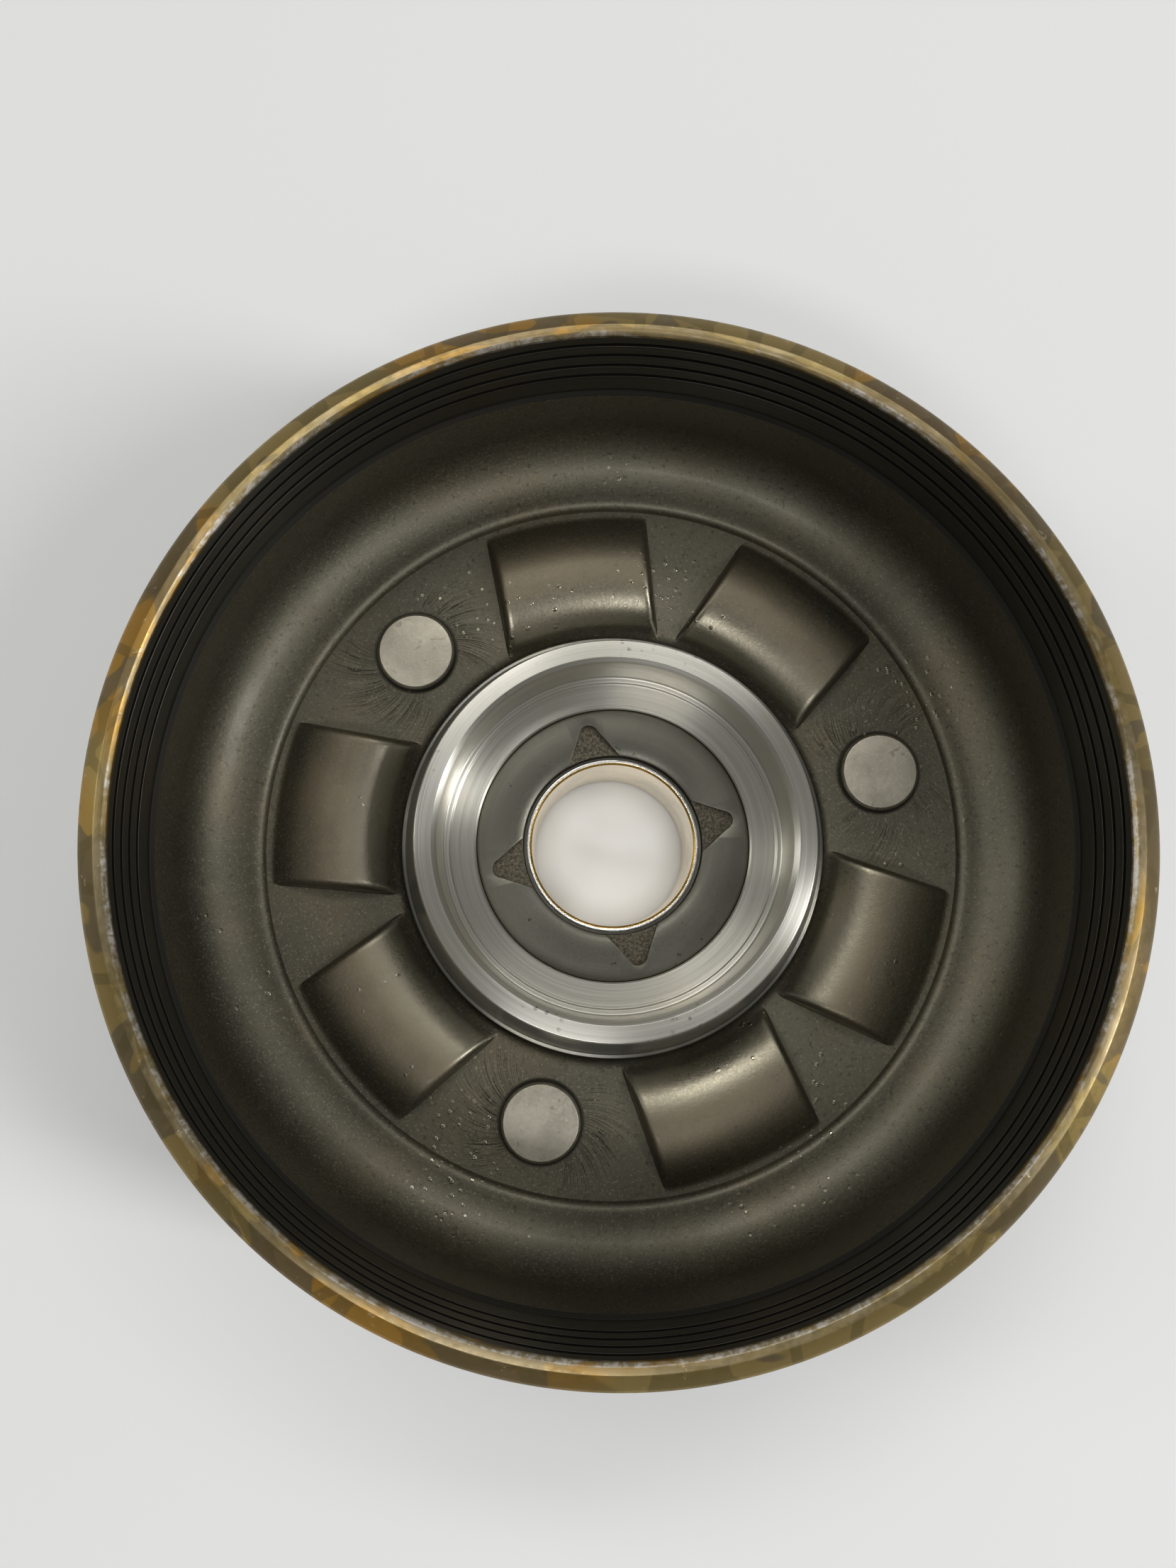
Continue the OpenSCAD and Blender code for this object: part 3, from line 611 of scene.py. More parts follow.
def satin_steel(name, colour, stain, rough_low, rough_high, depth, coat=0.05, ends=None):
    """Satin metal for plates, rivets, collars, springs and the bush. Ends are (height, colour) of a brighter end."""
    f = Finish(name)
    grain = f.noise(f.place, 2300, 4, 0.65)
    cloud = f.noise(f.place, 85, 5, 0.6)
    scratch = f.noise(f.place, 320, 2, 0.5, 2.5)
    c = f.mix(f.between(cloud, 0.36, 0.64), scaled(colour, 0.80), scaled(colour, 1.12))
    c = f.mix(f.between(grain, 0.58, 0.75, 0, 0.5), c, scaled(colour, 1.45))
    c = f.mix(f.between(scratch, 0.66, 0.72, 0, stain), c, scaled(colour, 0.45))
    if ends:
        c = f.mix(f.between(f.z, ends[0] - 0.5, ends[0] - 0.3), c, ends[1])
    rough = f.between(grain, 0.3, 0.7, rough_low, rough_high, False)
    height = f.add(f.mul(grain, 0.6), f.mul(cloud, 0.9))
    return f.finish(c, rough, height, depth, coat=coat)


# ---------------------------------------------------------------- the drum

def drum_outline(s):
    """Section of the drum as (radius, height, zone), from the hole over the web to the rim and back below."""
    web_z = low("drum_shell")
    rim = top("drum_shell")
    out_r = top("drum_shell", 0)
    web_top = web_z + s.web_t
    floor_top = web_top + s.step_h
    floor_z = web_z + s.step_h
    # the web's hole, the web, and the step up to the floor
    rows = [(s.hole_r, web_z + (s.web_t - s.hole_round) * k / 2, "web") for k in (0, 1)]
    rows += [(r, z, "web") for r, z in arc(s.hole_r + s.hole_round, web_top - s.hole_round, s.hole_round, 180, 90, 9)]
    first = s.hole_r + s.hole_round
    count = 52  # rows across the web, close enough for the pads
    rows += [(first + (s.step_r - first) * k / count, web_top, "web") for k in range(1, count + 1)]
    rows += [(r, z, "floor") for r, z in arc(s.step_r + s.step_h, web_top, s.step_h, 180, 90, 7)[1:]]
    rows.append((s.wall_in_r - s.fillet_r - 0.3 * MM, floor_top, "floor"))
    rows += [(r, z, "floor")
             for r, z in arc(s.wall_in_r - s.fillet_r, floor_top + s.fillet_r, s.fillet_r, 270, 360, 18)]
    # the pressed wall, the track and its grooves
    track_z = rim - s.track_h
    step = s.track_r - s.wall_in_r
    wall_z = floor_top + s.fillet_r
    rows += [(s.wall_in_r, wall_z + (track_z - wall_z) * k / 3, "floor") for k in (1, 2, 3)]
    rows.append((s.track_r, track_z + step, "track"))
    half = s.groove_w / 2
    edge = 0.09 * MM
    for i in reversed(range(s.groove_count)):
        z = rim - s.groove_first - i * s.groove_pitch
        deep = s.track_r + s.groove_d
        rows += [(s.track_r, z - half - edge, "track"), (s.track_r + edge, z - half, "track"),
                 (deep - 2 * edge, z - half * 0.7, "track"), (deep, z - half * 0.35, "track"),
                 (deep, z + half * 0.35, "track"), (deep - 2 * edge, z + half * 0.7, "track"),
                 (s.track_r + edge, z + half, "track"), (s.track_r, z + half + edge, "track")]
    # the rim, then the outside and the underside
    z_start = rim - 4 * s.rim_edge - s.bevel_drop
    rim_loop = soften([(s.track_r, rim - 2 * s.rim_edge), (s.track_r, rim - s.rim_edge, 0.15 * MM),
                       (s.track_r + s.rim_edge, rim, 0.15 * MM), (s.track_r + s.land_w, rim, 0.25 * MM),
                       (out_r - s.rim_edge, rim - s.bevel_drop, 0.3 * MM),
                       (out_r, rim - s.bevel_drop - s.rim_edge, 0.3 * MM), (out_r, z_start)],
                      closed=False, steps=2)
    rows += [(p.x, p.y, "rim") for p in rim_loop]
    z_fillet = floor_z + s.outer_fillet_r
    rows += [(out_r, z_start + (z_fillet - z_start) * k / 5, "outer") for k in range(1, 5)]
    rows += [(r, z, "outer") for r, z in arc(out_r - s.outer_fillet_r, z_fillet, s.outer_fillet_r, 0, -90, 14)]
    rows += [(s.step_r + s.step_h + 1 * MM, floor_z, "outer"), (s.step_r + 1 * MM, web_z, "under")]
    count = 40
    rows += [(s.step_r + (s.hole_r - s.step_r) * k / count, web_z, "under") for k in range(count)]
    return rows


def edge_angle(r, near, far, x_near, x_far):
    """Half angle of a pad's end line at radius r: the line widens from near to far."""
    slope = (far - near) / (x_far - x_near)
    angle = math.asin(min(0.99, near / r))
    for _ in range(6):
        reach = near + (r * math.cos(angle) - x_near) * slope
        angle = math.asin(max(-0.99, min(0.99, reach / r)))
    return angle


# distances from a pad's end line at which the mesh has columns, in mm, inside and outside it
EDGE_IN = (0, 0.1, 0.22, 0.36, 0.55, 0.8, 1.15, 1.7, 2.6)
EDGE_OUT = (0.1, 0.22, 0.36, 0.55, 0.9, 1.5)
# the outside columns go no further than these shares of the gap to the next pad
EDGE_CAP = (0.07, 0.16, 0.27, 0.4, 0.58, 0.76)
INSIDE = 9  # columns from a pad's middle to its end
ARCH_BEND = 0.2  # how much of the arch's straightness is kept; 0 follows the circle of springs
END_FOOT = 0.36  # mm outside the end line at which a pad's end starts to rise
END_ROUND = 1.7  # mm inside the end line at which the pad has its full height
END_SHARE = 0.60  # share of the height at the end line
PAD_BLEND = 0.6 * MM  # rounding where an arch meets the web
EVEN_REACH = 8 * MM  # past the step, the columns become even over this distance


def half_columns(fill):
    """Signed places from a pad's middle out to the middle of the gap: (kind, value)."""
    places = [("inside", k / INSIDE) for k in range(INSIDE)]
    places += [("edge", -value) for value in reversed(EDGE_IN)]
    places += [("out", k) for k in range(len(EDGE_OUT))]
    places += [("gap", (k + 1) / (fill + 1)) for k in range(fill)]
    return places


def column_angle(place, half, gap, r):
    """Angle from the pad's middle for one place at radius r."""
    kind, value = place
    last = half - EDGE_IN[-1] * MM / r
    if kind == "inside":
        return last * value
    if kind == "edge":
        return half + value * MM / r
    if kind == "out":
        return half + min(EDGE_OUT[value] * MM / r, EDGE_CAP[value] * (gap - half))
    first = half + min(EDGE_OUT[-1] * MM / r, EDGE_CAP[-1] * (gap - half))
    return first + (gap - first) * value


def end_shape(inside):
    """Share of a pad's full height at a distance inside its end line, in mm."""
    if inside < 0:
        return END_SHARE * max(0.0, 1 + inside / END_FOOT) ** 1.6
    if inside > END_ROUND:
        return 1.0
    return 1 - (1 - END_SHARE) * (1 - inside / END_ROUND) ** 3.2


def smooth_max(a, b, k):
    """The larger of two heights, with a rounding of size k where they cross."""
    h = max(k - abs(a - b), 0) / k
    return max(a, b) + h * h * k / 4


def build_drum(s, d):
    """The drum as one grid: its rows go round the section, its columns round the turn."""
    rows = drum_outline(s)
    web_z = low("drum_shell")
    web_top = web_z + s.web_t
    circle = d.spring_circle_r
    x_in = circle - s.pad_half
    x_out = circle + s.pad_half + 1 * MM
    sag = s.pad_crest - web_top + s.pad_bury
    arch_r = (s.pad_half ** 2 + sag ** 2) / (2 * sag)
    rivet_side = SECTOR / 2 - d.pair_half
    pair_side = d.pair_half
    columns = []
    for angle, sign in zip(spring_angles(d), (-1, 1) * COUNT):
        pair = half_columns(3)
        rivet = half_columns(11)
        before, after = (rivet, pair) if sign < 0 else (pair, rivet)
        gaps = (rivet_side, pair_side) if sign < 0 else (pair_side, rivet_side)
        columns += [(angle, -1, place, gaps[0]) for place in reversed(before[1:])]
        columns += [(angle, 1, place, gaps[1]) for place in after]
        columns.append((angle, 1, ("gap", 1.0), gaps[1]))
    total = len(columns)
    start_mesh("drum_body", bpy.ops.mesh.primitive_grid_add, x_subdivisions=total,
               y_subdivisions=len(rows), size=0.1)
    piece = bpy.context.object
    bpy.ops.object.mode_set(mode="OBJECT")
    co = []
    first_angle = columns[0][0] - columns[0][3]
    for row_index in range(len(rows) + 1):
        r, z, zone = rows[row_index % len(rows)]
        upper = zone == "web"
        under = zone == "under"
        if under:
            half_line = math.asin(min(0.99, d.pocket_len / 2 / r))
        else:
            half_line = edge_angle(r, s.pad_in_w, s.pad_out_w, x_in, x_out)
        spread = min(1.0, max(0.0, (r - s.step_r) / EVEN_REACH))
        spread = spread * spread * (3 - 2 * spread)
        for column_index in range(total + 1):
            angle, side, place, gap = columns[column_index % total]
            turn = column_angle(place, min(half_line, 0.93 * gap), gap, r) * side
            if column_index == total:
                angle += math.tau
            even = first_angle + math.tau * (column_index + 1) / total
            theta = (angle + turn) * (1 - spread) + even * spread
            height = z
            local_x = r * math.cos(turn)
            # a pad's arch bends with the circle of springs; the room below it is straight
            bent_x = r * (ARCH_BEND * math.cos(turn) + 1 - ARCH_BEND)
            inside = (half_line - abs(turn)) * r / MM
            if upper and abs(bent_x - circle) < s.pad_half + 2 * PAD_BLEND and inside > -END_FOOT:
                rise = max(0.0, arch_r ** 2 - (bent_x - circle) ** 2)
                arch = s.pad_crest - arch_r + math.sqrt(rise)
                full = smooth_max(arch, z, PAD_BLEND) - z
                fade = min(1.0, max(0.0, (circle + s.pad_half + PAD_BLEND - r) / (1.5 * PAD_BLEND)))
                height = z + full * end_shape(inside) * fade
            if under and inside > -0.05:
                rise = d.tunnel_r ** 2 - (local_x - circle) ** 2
                if rise > 0:
                    roof = d.spring_z + math.sqrt(rise)
                    share = min(1.0, max(0.0, (inside + 0.05) / 0.2))
                    height = z + max(0.0, roof - z) * share
            co.append((r * math.cos(theta), r * math.sin(theta), height))
    # the grid is closed in both directions when its doubles are merged
    mesh = bmesh.new()
    count_x = total + 1
    verts = [mesh.verts.new(point) for point in co]
    zones = {"web": 0, "floor": 0, "under": 0, "track": 1, "rim": 2, "outer": 3}
    for j in range(len(rows)):
        zone = zones[rows[(j + 1) % len(rows)][2]]
        if rows[j][2] == "track" and rows[(j + 1) % len(rows)][2] == "rim":
            zone = 1
        for i in range(total):
            a = j * count_x + i
            face = mesh.faces.new((verts[a], verts[a + 1], verts[a + 1 + count_x], verts[a + count_x]))
            face.material_index = zone
    mesh.to_mesh(piece.data)
    mesh.free()
    bpy.ops.object.mode_set(mode="EDIT")
    return end_mesh(34)


# ---------------------------------------------------------------- the hub

def build_race(s):
    bottom = low("race_ring")
    high = top("race_ring")
    foot = top("race_ring", 0)
    edge = 0.3 * MM
    corners = [(s.spigot_r, bottom), (foot, bottom, edge), (foot, s.foot_top_z, edge),
               (s.race_foot_r, s.foot_top_z, 0.4 * MM), (s.race_out_r, high, edge),
               (s.race_r + s.race_lead, high, 0.12 * MM), (s.race_r, high - s.race_lead, 0.12 * MM),
               (s.race_r, s.race_floor_z + 0.35 * MM, s.race_fillet),
               (s.race_r - 0.9 * MM, s.race_floor_z + 0.35 * MM, 0.2 * MM),
               (s.race_r - 1.2 * MM, s.race_floor_z, 0.2 * MM),
               (s.spigot_r + 0.25 * MM, s.race_floor_z, 0.08 * MM), (s.spigot_r, s.race_floor_z - 0.25 * MM)]
    return turned("race_ring_turned", soften(corners, steps=6), steps=192)


def tooth_outline(s):
    """Outline of the toothed ring, with involute flanks and rounded roots."""
    pressure = math.radians(20)
    pitch_r = s.module_size * s.teeth / 2
    tip_r = top("drive_gear", 0)
    base_r = pitch_r * math.cos(pressure)

    def involute(a):
        return math.tan(a) - a

    def half(r):
        lean = involute(math.acos(min(1, base_r / r)))
        return math.pi / 2 / s.teeth - math.radians(0.3) + involute(pressure) - lean

    points = []
    flank = [base_r + (tip_r - base_r) * k / 5 for k in range(6)]
    for tooth in range(s.teeth):
        centre = math.tau * tooth / s.teeth
        foot = half(base_r) + math.radians(0.6)
        side = [(s.root_r, foot + math.radians(0.5)), (s.root_r + 0.25 * MM, foot)]
        side += [(r, half(r)) for r in flank]
        for r, a in side:
            points.append((r * math.cos(centre - a), r * math.sin(centre - a)))
        for r, a in reversed(side):
            points.append((r * math.cos(centre + a), r * math.sin(centre + a)))
    return points


RECESS_TURN = math.radians(-3)  # of the first oil recess, from +X


def build_gear(s):
    """Gear and hub: turned blank, toothed ring, chamfered teeth and four oil recesses."""
    face = top("drive_gear")
    tip_r = top("drive_gear", 0)
    plate_top = low("race_ring")
    ring = slab("gear_teeth", tooth_outline(s), 0, s.gear_w)
    end_r = tip_r - s.tooth_chamfer
    past_r = tip_r + 0.02 * MM
    limits = [(0, -1 * MM), (end_r - 1 * MM, -1 * MM), (end_r, 0), (past_r, s.tooth_chamfer),
              (past_r, s.gear_w - s.tooth_chamfer), (end_r, s.gear_w), (end_r - 1 * MM, s.gear_w + 1 * MM),
              (0, s.gear_w + 1 * MM)]
    blank = turned("gear_limits", limits, closed=False, steps=176)
    cut(ring, blank, "INTERSECT")
    # the ring is opened for the hub, so the two can be one shape
    bevel = 0.12 * MM
    hub_r = s.root_r - 1.2 * MM
    well = turned("ring_well", [(0, -1 * MM), (hub_r - bevel, -1 * MM), (hub_r - bevel, s.gear_w + 1 * MM),
                                (0, s.gear_w + 1 * MM)], closed=False, steps=176)
    cut(ring, well)
    tidy_edges(ring, bevel, 40, 1)
    hollow = s.counter_r
    inner = s.bush_r
    dish = [(hollow, face - s.dish_d - 0.1 * MM, 0.12 * MM), (hollow + 0.25 * s.dish_w, face - 0.62 * s.dish_d),
            (hollow + 0.5 * s.dish_w, face - 0.30 * s.dish_d), (hollow + 0.75 * s.dish_w, face - 0.10 * s.dish_d),
            (hollow + 1.05 * s.dish_w, face)]
    rim = [(s.spigot_r - 0.5 * MM, face), (s.spigot_r - 0.15 * MM, face - 0.1 * MM), (s.spigot_r, face - 0.4 * MM)]
    corners = [(inner, 0.4 * MM), (inner + 0.4 * MM, 0, 0.1 * MM), (inner + 2.2 * MM, 0, 0.2 * MM),
               (inner + 2.2 * MM, s.rear_recess_d, 0.3 * MM), (hub_r - 1.3 * MM, s.rear_recess_d, 0.3 * MM),
               (hub_r - 1.3 * MM, 0), (hub_r, 0), (hub_r, s.gear_w), (s.boss_r, s.gear_w),
               (s.boss_r, plate_top), (s.spigot_r, plate_top), *reversed(rim), *reversed(dish),
               (hollow, face - s.counter_h, 0.2 * MM), (inner, face - s.counter_h)]
    hub = turned("gear_hub_blank", soften(corners, steps=3), steps=176)
    tip_x = hollow + s.recess_reach - s.recess_tip_w / 2
    for k in range(s.recesses):
        turn = RECESS_TURN + math.tau * k / s.recesses
        half_w = s.recess_w / 2
        flat = [(hollow - 1.2 * MM, -half_w - 0.5 * MM), (hollow + 0.4 * MM, -half_w + 0.25 * MM)]
        flat += [(tip_x + s.recess_tip_w / 2 * math.cos(a), s.recess_tip_w / 2 * math.sin(a))
                 for a in [math.radians(-78 + 156 * j / 12) for j in range(13)]]
        flat += [(hollow + 0.4 * MM, half_w - 0.25 * MM), (hollow - 1.2 * MM, half_w + 0.5 * MM)]
        cut(hub, slab("recess", turn_points(flat, turn), face - s.recess_d, s.recess_d + 1 * MM))
    tidy_edges(hub, 0.16 * MM, 46, 2)
    activate(hub)
    ring.select_set(True)
    bpy.ops.object.join()
    hub.name = "gear_and_hub"
    hub.data.name = "gear_and_hub"
    return hub


def build_bush(s):
    bottom = low("bush_shell")
    high = top("bush_shell")
    edge = 0.1 * MM
    shell = [(s.lining_r, bottom), (s.bush_r, bottom, edge), (s.bush_r, high, 0.15 * MM), (s.lining_r, high, 0.05 * MM)]
    shell = turned("bush_shell_rolled", soften(shell, steps=3), steps=160)
    lead = 0.3 * MM
    lining = [(s.bore_r, bottom + lead, edge), (s.bore_r + lead, bottom, 0.03 * MM), (s.lining_r, bottom),
              (s.lining_r, high), (s.bore_r + lead, high, 0.03 * MM), (s.bore_r, high - lead, edge)]
    lining = turned("bush_lining_bronze", soften(lining, steps=3), steps=160)
    return shell, lining


# ---------------------------------------------------------------- rivets, plates and springs

def build_rivet(d, s):
    web_top = low("drum_shell") + s.web_t
    high = top("rivet_1")
    bottom = low("rivet_1")
    tail_z = low("back_plate")
    corners = [(0, bottom), (d.tail_r - 1.2 * MM, bottom, 0.5 * MM), (d.tail_r, bottom + 1 * MM, 0.5 * MM),
               (d.tail_r, tail_z), (d.shank_r, tail_z), (d.shank_r, web_top), (d.head_r - 0.1 * MM, web_top, 0.1 * MM),
               (d.head_r, web_top + 0.3 * MM, 0.1 * MM), (d.head_r, high - 0.42 * MM, 0.16 * MM),
               (d.head_r - 0.4 * MM, high, 0.2 * MM), (0, high)]
    return turned("rivet_flat_1", soften(corners, closed=False, steps=4), closed=False, steps=96,
                  centre=(d.rivet_circle_r, 0), angle=38)


def build_collar(d):
    bottom = low("rivet_collar_1")
    high = top("rivet_collar_1")
    edge = 0.25 * MM
    corners = [(d.shank_r, bottom), (d.collar_r, bottom, edge), (d.collar_r, high, edge), (d.shank_r, high)]
    return turned("collar_turned_1", soften(corners, steps=3), steps=80, centre=(d.rivet_circle_r, 0))


def slot_outline(d):
    """Outline of the slot that a rivet collar moves in."""
    room = d.slot_room
    r = d.rivet_circle_r
    points = [((r + room) * math.cos(a), (r + room) * math.sin(a)) for a in (-d.play, -d.play / 2, 0, d.play / 2)]
    for sign in (1, -1):
        a0 = sign * d.play
        start = a0 if sign > 0 else a0 + math.pi
        turns = [start + math.radians(180 * k / 16) for k in range(17)]
        points += [(r * math.cos(a0) + room * math.cos(t), r * math.sin(a0) + room * math.sin(t)) for t in turns]
        if sign > 0:
            points += [((r - room) * math.cos(a), (r - room) * math.sin(a)) for a in (d.play / 2, 0, -d.play / 2)]
    return points


def build_damper_plate(d, s):
    bottom = low("damper_plate")
    high = top("damper_plate")
    out_r = top("damper_plate", 0)
    plate = turned("damper_plate_punched", [(s.boss_r, bottom), (out_r, bottom), (out_r, high), (s.boss_r, high)],
                   steps=192)
    for angle in spring_angles(d):
        x0, x1 = d.spring_circle_r - d.window_half, d.spring_circle_r + d.window_half
        y = d.pocket_len / 2
        box = [(x0, -y), (x1, -y), (x1, y), (x0, y)]
        cut(plate, slab("window", turn_points(box, angle), bottom - 1 * MM, high - bottom + 2 * MM))
    for i in range(COUNT):
        cut(plate, slab("slot", turn_points(slot_outline(d), SECTOR * i), bottom - 1 * MM, high - bottom + 2 * MM))
    tidy_edges(plate, 0.25 * MM, 50, 2)
    return plate


def build_back_plate(d):
    bottom = low("back_plate")
    high = top("back_plate")
    out_r = top("back_plate", 0)
    hole = top("drive_gear", 0) + 1 * MM
    plate = turned("back_plate_pressed", [(hole, bottom), (out_r, bottom), (out_r, high), (hole, high)], steps=192)
    for angle in spring_angles(d):
        place = (d.spring_circle_r * math.cos(angle), d.spring_circle_r * math.sin(angle), d.spring_z)
        cut(plate, rod("tunnel", d.tunnel_r, d.pocket_len, place, angle))
    for i in range(COUNT):
        place = (d.rivet_circle_r * math.cos(SECTOR * i), d.rivet_circle_r * math.sin(SECTOR * i))
        outline = [(0, bottom - 1 * MM), (d.shank_r, bottom - 1 * MM), (d.shank_r, high + 1 * MM), (0, high + 1 * MM)]
        cut(plate, turned("shank_hole", outline, closed=False, steps=64, centre=place))
    tidy_edges(plate, 0.22 * MM, 50, 2)
    return plate


def build_washer(d):
    bottom = low("cone_washer")
    high = top("cone_washer")
    out_r = top("cone_washer", 0)
    inner_r = top("drive_gear", 0) + 1.6 * MM
    edge = 0.1 * MM
    corners = [(inner_r, high - d.washer_t, edge), (out_r, bottom, edge),
               (out_r, bottom + d.washer_t, edge), (inner_r, high, edge)]
    return turned("cone_washer_formed", soften(corners, steps=2), steps=160)


def build_spring(d, name):
    """Coil spring on +X, lying along Y, with closed ground ends."""
    mean = d.spring_r - d.wire_r
    closed = 0.75  # coils that touch at each end
    total = int(d.coils * 30)
    pitch = 2 * d.wire_r + 0.05 * MM
    grind = 0.55 * MM  # taken off the wire at each end
    span = d.spring_len - 2 * d.wire_r + 2 * grind
    open_coils = d.coils - 2 * closed
    open_pitch = (span - 2 * closed * pitch) / open_coils
    bpy.ops.object.select_all(action="DESELECT")
    bpy.ops.curve.primitive_nurbs_path_add(location=(0, 0, 0))
    curve = bpy.context.object
    curve.data.splines.clear()
    spline = curve.data.splines.new("POLY")
    spline.points.add(total)
    for i, point in enumerate(spline.points):
        t = d.coils * i / total
        along = pitch * min(t, closed) + open_pitch * min(max(t - closed, 0), open_coils)
        along += pitch * max(t - closed - open_coils, 0) - span / 2
        turn = math.tau * t
        point.co = (d.spring_circle_r + mean * math.cos(turn), along, d.spring_z + mean * math.sin(turn), 1)
    curve.data.bevel_depth = d.wire_r
    curve.data.bevel_resolution = 4
    curve.data.use_fill_caps = True
    bpy.ops.object.convert(target="MESH")
    piece = bpy.context.object
    piece.name = name
    piece.data.name = name
    bpy.ops.object.mode_set(mode="EDIT")
    end_mesh(40)
    place = (d.spring_circle_r, 0, d.spring_z)
    cut(piece, rod("spring_ends", 2 * d.spring_r, d.spring_len, place, 0), "INTERSECT")
    merge_close(piece, 1e-6)
    bpy.ops.object.shade_smooth_by_angle(angle=math.radians(40))
    return piece


# ---------------------------------------------------------------- operators

class BUILD_OT_drum_body(bpy.types.Operator):
    """Build the pressed drum with its rim, grooved track, floor, web and six pads"""
    bl_idname = "clutch.drum_body"
    bl_label = "Drum body"

    def execute(self, context):
        scene = context.scene
        s, d, c = scene.drum_sizes, scene.damper_sizes, scene.drum_finishes
        piece = build_drum(s, d)
        rim = top("drum_shell") / MM
        web_top = (low("drum_shell") + s.web_t) / MM
        seat(piece, "drum_shell", "drum", "drum_steel",
             pressed_steel(tuple(c.pressed), d.rivet_circle_r / MM, d.spring_circle_r / MM, web_top),
             track_steel(tuple(c.track), s.track_r / MM, rim - s.track_h / MM),
             rim_varnish(tuple(c.varnish), tuple(c.land), rim, (s.track_r + s.land_w) / MM),
             outer_steel(tuple(c.outer)))
        return {"FINISHED"}


class BUILD_OT_race_ring(bpy.types.Operator):
    """Build the turned ring that holds the one-way clutch race"""
    bl_idname = "clutch.race_ring"
    bl_label = "Race ring"

    def execute(self, context):
        sizes = context.scene.hub_sizes
        piece = build_race(sizes)
        colour = tuple(context.scene.drum_finishes.turned)
        finish = turned_steel(colour, top("race_ring") / MM, sizes.race_out_r / MM)
        seat(piece, "race_ring", "gear_hub", "turned_steel", finish)
        return {"FINISHED"}


class BUILD_OT_gear(bpy.types.Operator):
    """Build the drive gear with its hub face and oil recesses"""
    bl_idname = "clutch.gear"
    bl_label = "Drive gear and hub"

    def execute(self, context):
        s, c = context.scene.hub_sizes, context.scene.drum_finishes
        piece = build_gear(s)
        finish = hub_steel(tuple(c.hub), tuple(c.rough), top("drive_gear") / MM, s.recess_d / MM, s.spigot_r / MM)
        seat(piece, "drive_gear", "gear_hub", "dark_steel", finish)
        return {"FINISHED"}


class BUILD_OT_bush(bpy.types.Operator):
    """Build the steel shell and the bronze lining of the bush"""
    bl_idname = "clutch.bush"
    bl_label = "Bush"

    def execute(self, context):
        c = context.scene.drum_finishes
        shell, lining = build_bush(context.scene.hub_sizes)
        steel = satin_steel("bush_steel", tuple(c.shell), 0.3, 0.18, 0.3, 0.006)
        bronze = satin_steel("bronze", tuple(c.bronze), 0.35, 0.16, 0.3, 0.006,
                             ends=(top("bush_lining") / MM, tuple(c.bronze_edge)))
        seat(shell, "bush_shell", "gear_hub", "bush_steel", steel)
        seat(lining, "bush_lining", "gear_hub", "bronze", bronze)
        return {"FINISHED"}


class BUILD_OT_rivets(bpy.types.Operator):
    """Build the three flat rivets and their spacing collars"""
    bl_idname = "clutch.rivets"
    bl_label = "Rivets and collars"

    def execute(self, context):
        scene = context.scene
        d, c = scene.damper_sizes, scene.drum_finishes
        steel = satin_steel("rivet_steel", tuple(c.rivet), 0.5, 0.36, 0.5, 0.035)
        collar_steel = satin_steel("collar_steel", tuple(c.plate), 0.3, 0.3, 0.42, 0.01)
        rivets = [build_rivet(d, scene.drum_sizes)]
        collars = [build_collar(d)]
        for i in range(1, COUNT):
            rivets.append(copy_turned(rivets[0], f"rivet_flat_{i + 1}", SECTOR * i))
            collars.append(copy_turned(collars[0], f"collar_turned_{i + 1}", SECTOR * i))
        for i in range(COUNT):
            seat(rivets[i], f"rivet_{i + 1}", "drum", "rivet_steel", steel)
            seat(collars[i], f"rivet_collar_{i + 1}", "drum", "collar_steel", collar_steel)
        return {"FINISHED"}


class BUILD_OT_plates(bpy.types.Operator):
    """Build the driven plate, the back plate and the cone washer"""
    bl_idname = "clutch.plates"
    bl_label = "Damper plates"

    def execute(self, context):
        scene = context.scene
        d, s, c = scene.damper_sizes, scene.hub_sizes, scene.drum_finishes
        steel = satin_steel("plate_steel", tuple(c.plate), 0.5, 0.32, 0.46, 0.02)
        seat(build_damper_plate(d, s), "damper_plate", "gear_hub", "plate_steel", steel)
        seat(build_back_plate(d), "back_plate", "drum", "plate_steel", steel)
        seat(build_washer(d), "cone_washer", "drum", "spring_steel",
             satin_steel("washer_steel", tuple(c.spring), 0.3, 0.25, 0.36, 0.008))
        return {"FINISHED"}


class BUILD_OT_springs(bpy.types.Operator):
    """Build the six damper springs"""
    bl_idname = "clutch.springs"
    bl_label = "Damper springs"

    def execute(self, context):
        scene = context.scene
        d, c = scene.damper_sizes, scene.drum_finishes
        steel = satin_steel("spring_steel", tuple(c.spring), 0.4, 0.26, 0.38, 0.008, 0.15)
        first = build_spring(d, "spring_pattern")
        # at the limit the two ends of a window stand at an angle, so a round spring has less room
        for i, angle in enumerate(spring_angles(d)):
            piece = copy_turned(first, f"damper_coil_{i + 1}", angle)
            seat(piece, f"damper_spring_{i + 1}", "damper_springs", "spring_steel", steel)
            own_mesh(piece)
        bpy.data.objects.remove(first, do_unlink=True)
        return {"FINISHED"}


CAMERA_LENS = 29.29
CAMERA_PLACE = (-0.01143, -0.01278, 0.23566)
CAMERA_TURN = [math.radians(a) for a in (6.868, -0.947, -15.4)]
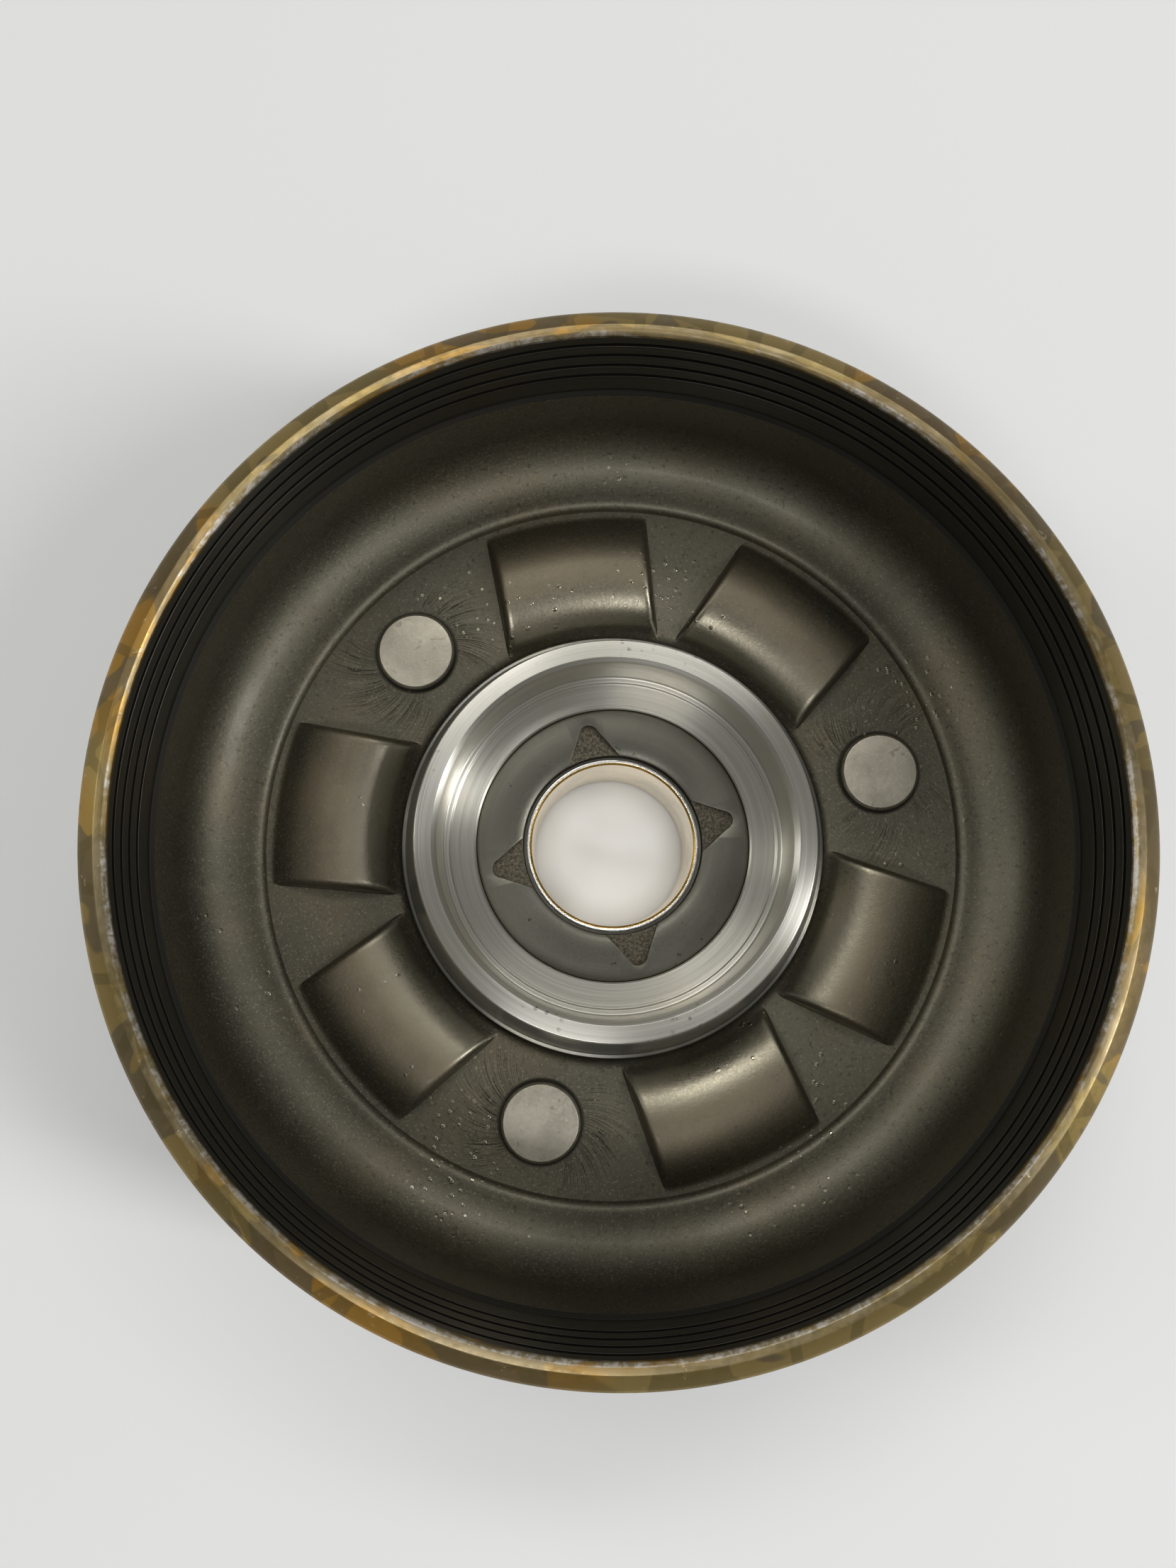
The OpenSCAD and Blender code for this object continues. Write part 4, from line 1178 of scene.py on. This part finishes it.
# name, place in the picture's own axes, size, power and colour; all aim at the gear's rear face
LIGHTS = (
    ("light_top", (0.1, 0.85, 1.4), (1.2, 0.22), 4.6, (1.0, 0.99, 0.95)),
    ("light_left", (-1.4, 0.25, 1.0), (0.3, 1.2), 3.0, (1.0, 1.0, 0.95)),
    ("light_right", (1.2, -0.3, 1.1), (0.25, 0.8), 11, (1, 1, 1)),
    ("light_near", (-0.2, -0.77, 1.35), (0.5, 0.16), 3.8, (1, 1, 1)),
    ("light_over", (-0.36, 0.60, 1.5), (0.4, 0.4), 2.2, (1.0, 0.985, 0.95)),
)
# a narrow lamp that lights the table through the bore
BORE_LIGHT = dict(energy=4.6, spot_size=math.radians(2.5), spot_blend=0.3, shadow_soft_size=0.004)
BORE_LIGHT_PLACE = (-0.01, -0.01, 0.6)
BORE_LIGHT_AIM = (0, 0, 0.01)
ROOM_COLOUR = (1.0, 0.985, 0.945, 1)
ROOM_LIGHT = 0.26


def add_light(name, kind, place, aim, **settings):
    data = bpy.data.lights.new(name, kind)
    for key, value in settings.items():
        setattr(data, key, value)
    light = bpy.data.objects.new(name, data)
    light.location = place
    light.rotation_euler = (Vector(aim) - Vector(place)).to_track_quat("-Z", "Y").to_euler()
    bpy.context.scene.collection.objects.link(light)


class BUILD_OT_stage(bpy.types.Operator):
    """Set up the plain table, the soft lights and the camera"""
    bl_idname = "clutch.stage"
    bl_label = "Table, lights and camera"

    def execute(self, context):
        scene = context.scene
        f = Finish("table")
        c = tuple(scene.drum_finishes.board)
        cloud = f.noise(f.place, 3, 3, 0.5)
        colour = f.mix(f.between(cloud, 0.35, 0.65), scaled(c, 0.985), c)
        table = f.finish(colour, 0.55, f.noise(f.place, 300, 2, 0.5), 0.02, metallic=0.0, specular=0.3)
        start_mesh("table", bpy.ops.mesh.primitive_plane_add, size=6, location=(0, 0, -0.0005))
        board = end_mesh()
        board.data.materials.append(table)
        data = bpy.data.cameras.new("camera")
        data.lens = CAMERA_LENS
        data.sensor_width = 36
        data.clip_start = 0.01
        camera = bpy.data.objects.new("camera", data)
        camera.location = CAMERA_PLACE
        camera.rotation_euler = CAMERA_TURN
        scene.collection.objects.link(camera)
        scene.camera = camera
        world = bpy.data.worlds.new("room")
        world.use_nodes = True
        background = world.node_tree.nodes["Background"]
        background.inputs[0].default_value = ROOM_COLOUR
        background.inputs[1].default_value = ROOM_LIGHT
        scene.world = world
        for name, (x, y, z), (width, depth), power, colour in LIGHTS:
            place = (*turn_points([(x, y)], CAMERA_TURN[2])[0], z)
            add_light(name, "AREA", place, (0, 0, 0), shape="RECTANGLE", size=width, size_y=depth,
                      energy=power, color=colour)
        add_light("light_bore", "SPOT", BORE_LIGHT_PLACE, BORE_LIGHT_AIM, **BORE_LIGHT)
        scene.view_settings.view_transform = "Standard"
        return {"FINISHED"}


STEPS = ("stage", "drum_body", "race_ring", "gear", "bush", "rivets", "plates", "springs")


class BUILD_PT_panel(bpy.types.Panel):
    bl_idname = "BUILD_PT_clutch_drum"
    bl_label = "Clutch drum"
    bl_space_type = "VIEW_3D"
    bl_region_type = "UI"
    bl_category = "Clutch drum"

    def draw(self, context):
        for step in STEPS:
            self.layout.operator("clutch." + step)


CLASSES = (DrumSizes, HubSizes, DamperSizes, Finishes, BUILD_OT_stage, BUILD_OT_drum_body, BUILD_OT_race_ring,
           BUILD_OT_gear, BUILD_OT_bush, BUILD_OT_rivets, BUILD_OT_plates, BUILD_OT_springs, BUILD_PT_panel)


def register():
    for item in CLASSES:
        bpy.utils.register_class(item)
    bpy.types.Scene.drum_sizes = PointerProperty(type=DrumSizes)
    bpy.types.Scene.hub_sizes = PointerProperty(type=HubSizes)
    bpy.types.Scene.damper_sizes = PointerProperty(type=DamperSizes)
    bpy.types.Scene.drum_finishes = PointerProperty(type=Finishes)


def unregister():
    for name in ("drum_sizes", "hub_sizes", "damper_sizes", "drum_finishes"):
        delattr(bpy.types.Scene, name)
    for item in reversed(CLASSES):
        bpy.utils.unregister_class(item)


def main():
    register()
    for step in STEPS:
        getattr(bpy.ops.clutch, step)()


if __name__ == "__main__":
    main()
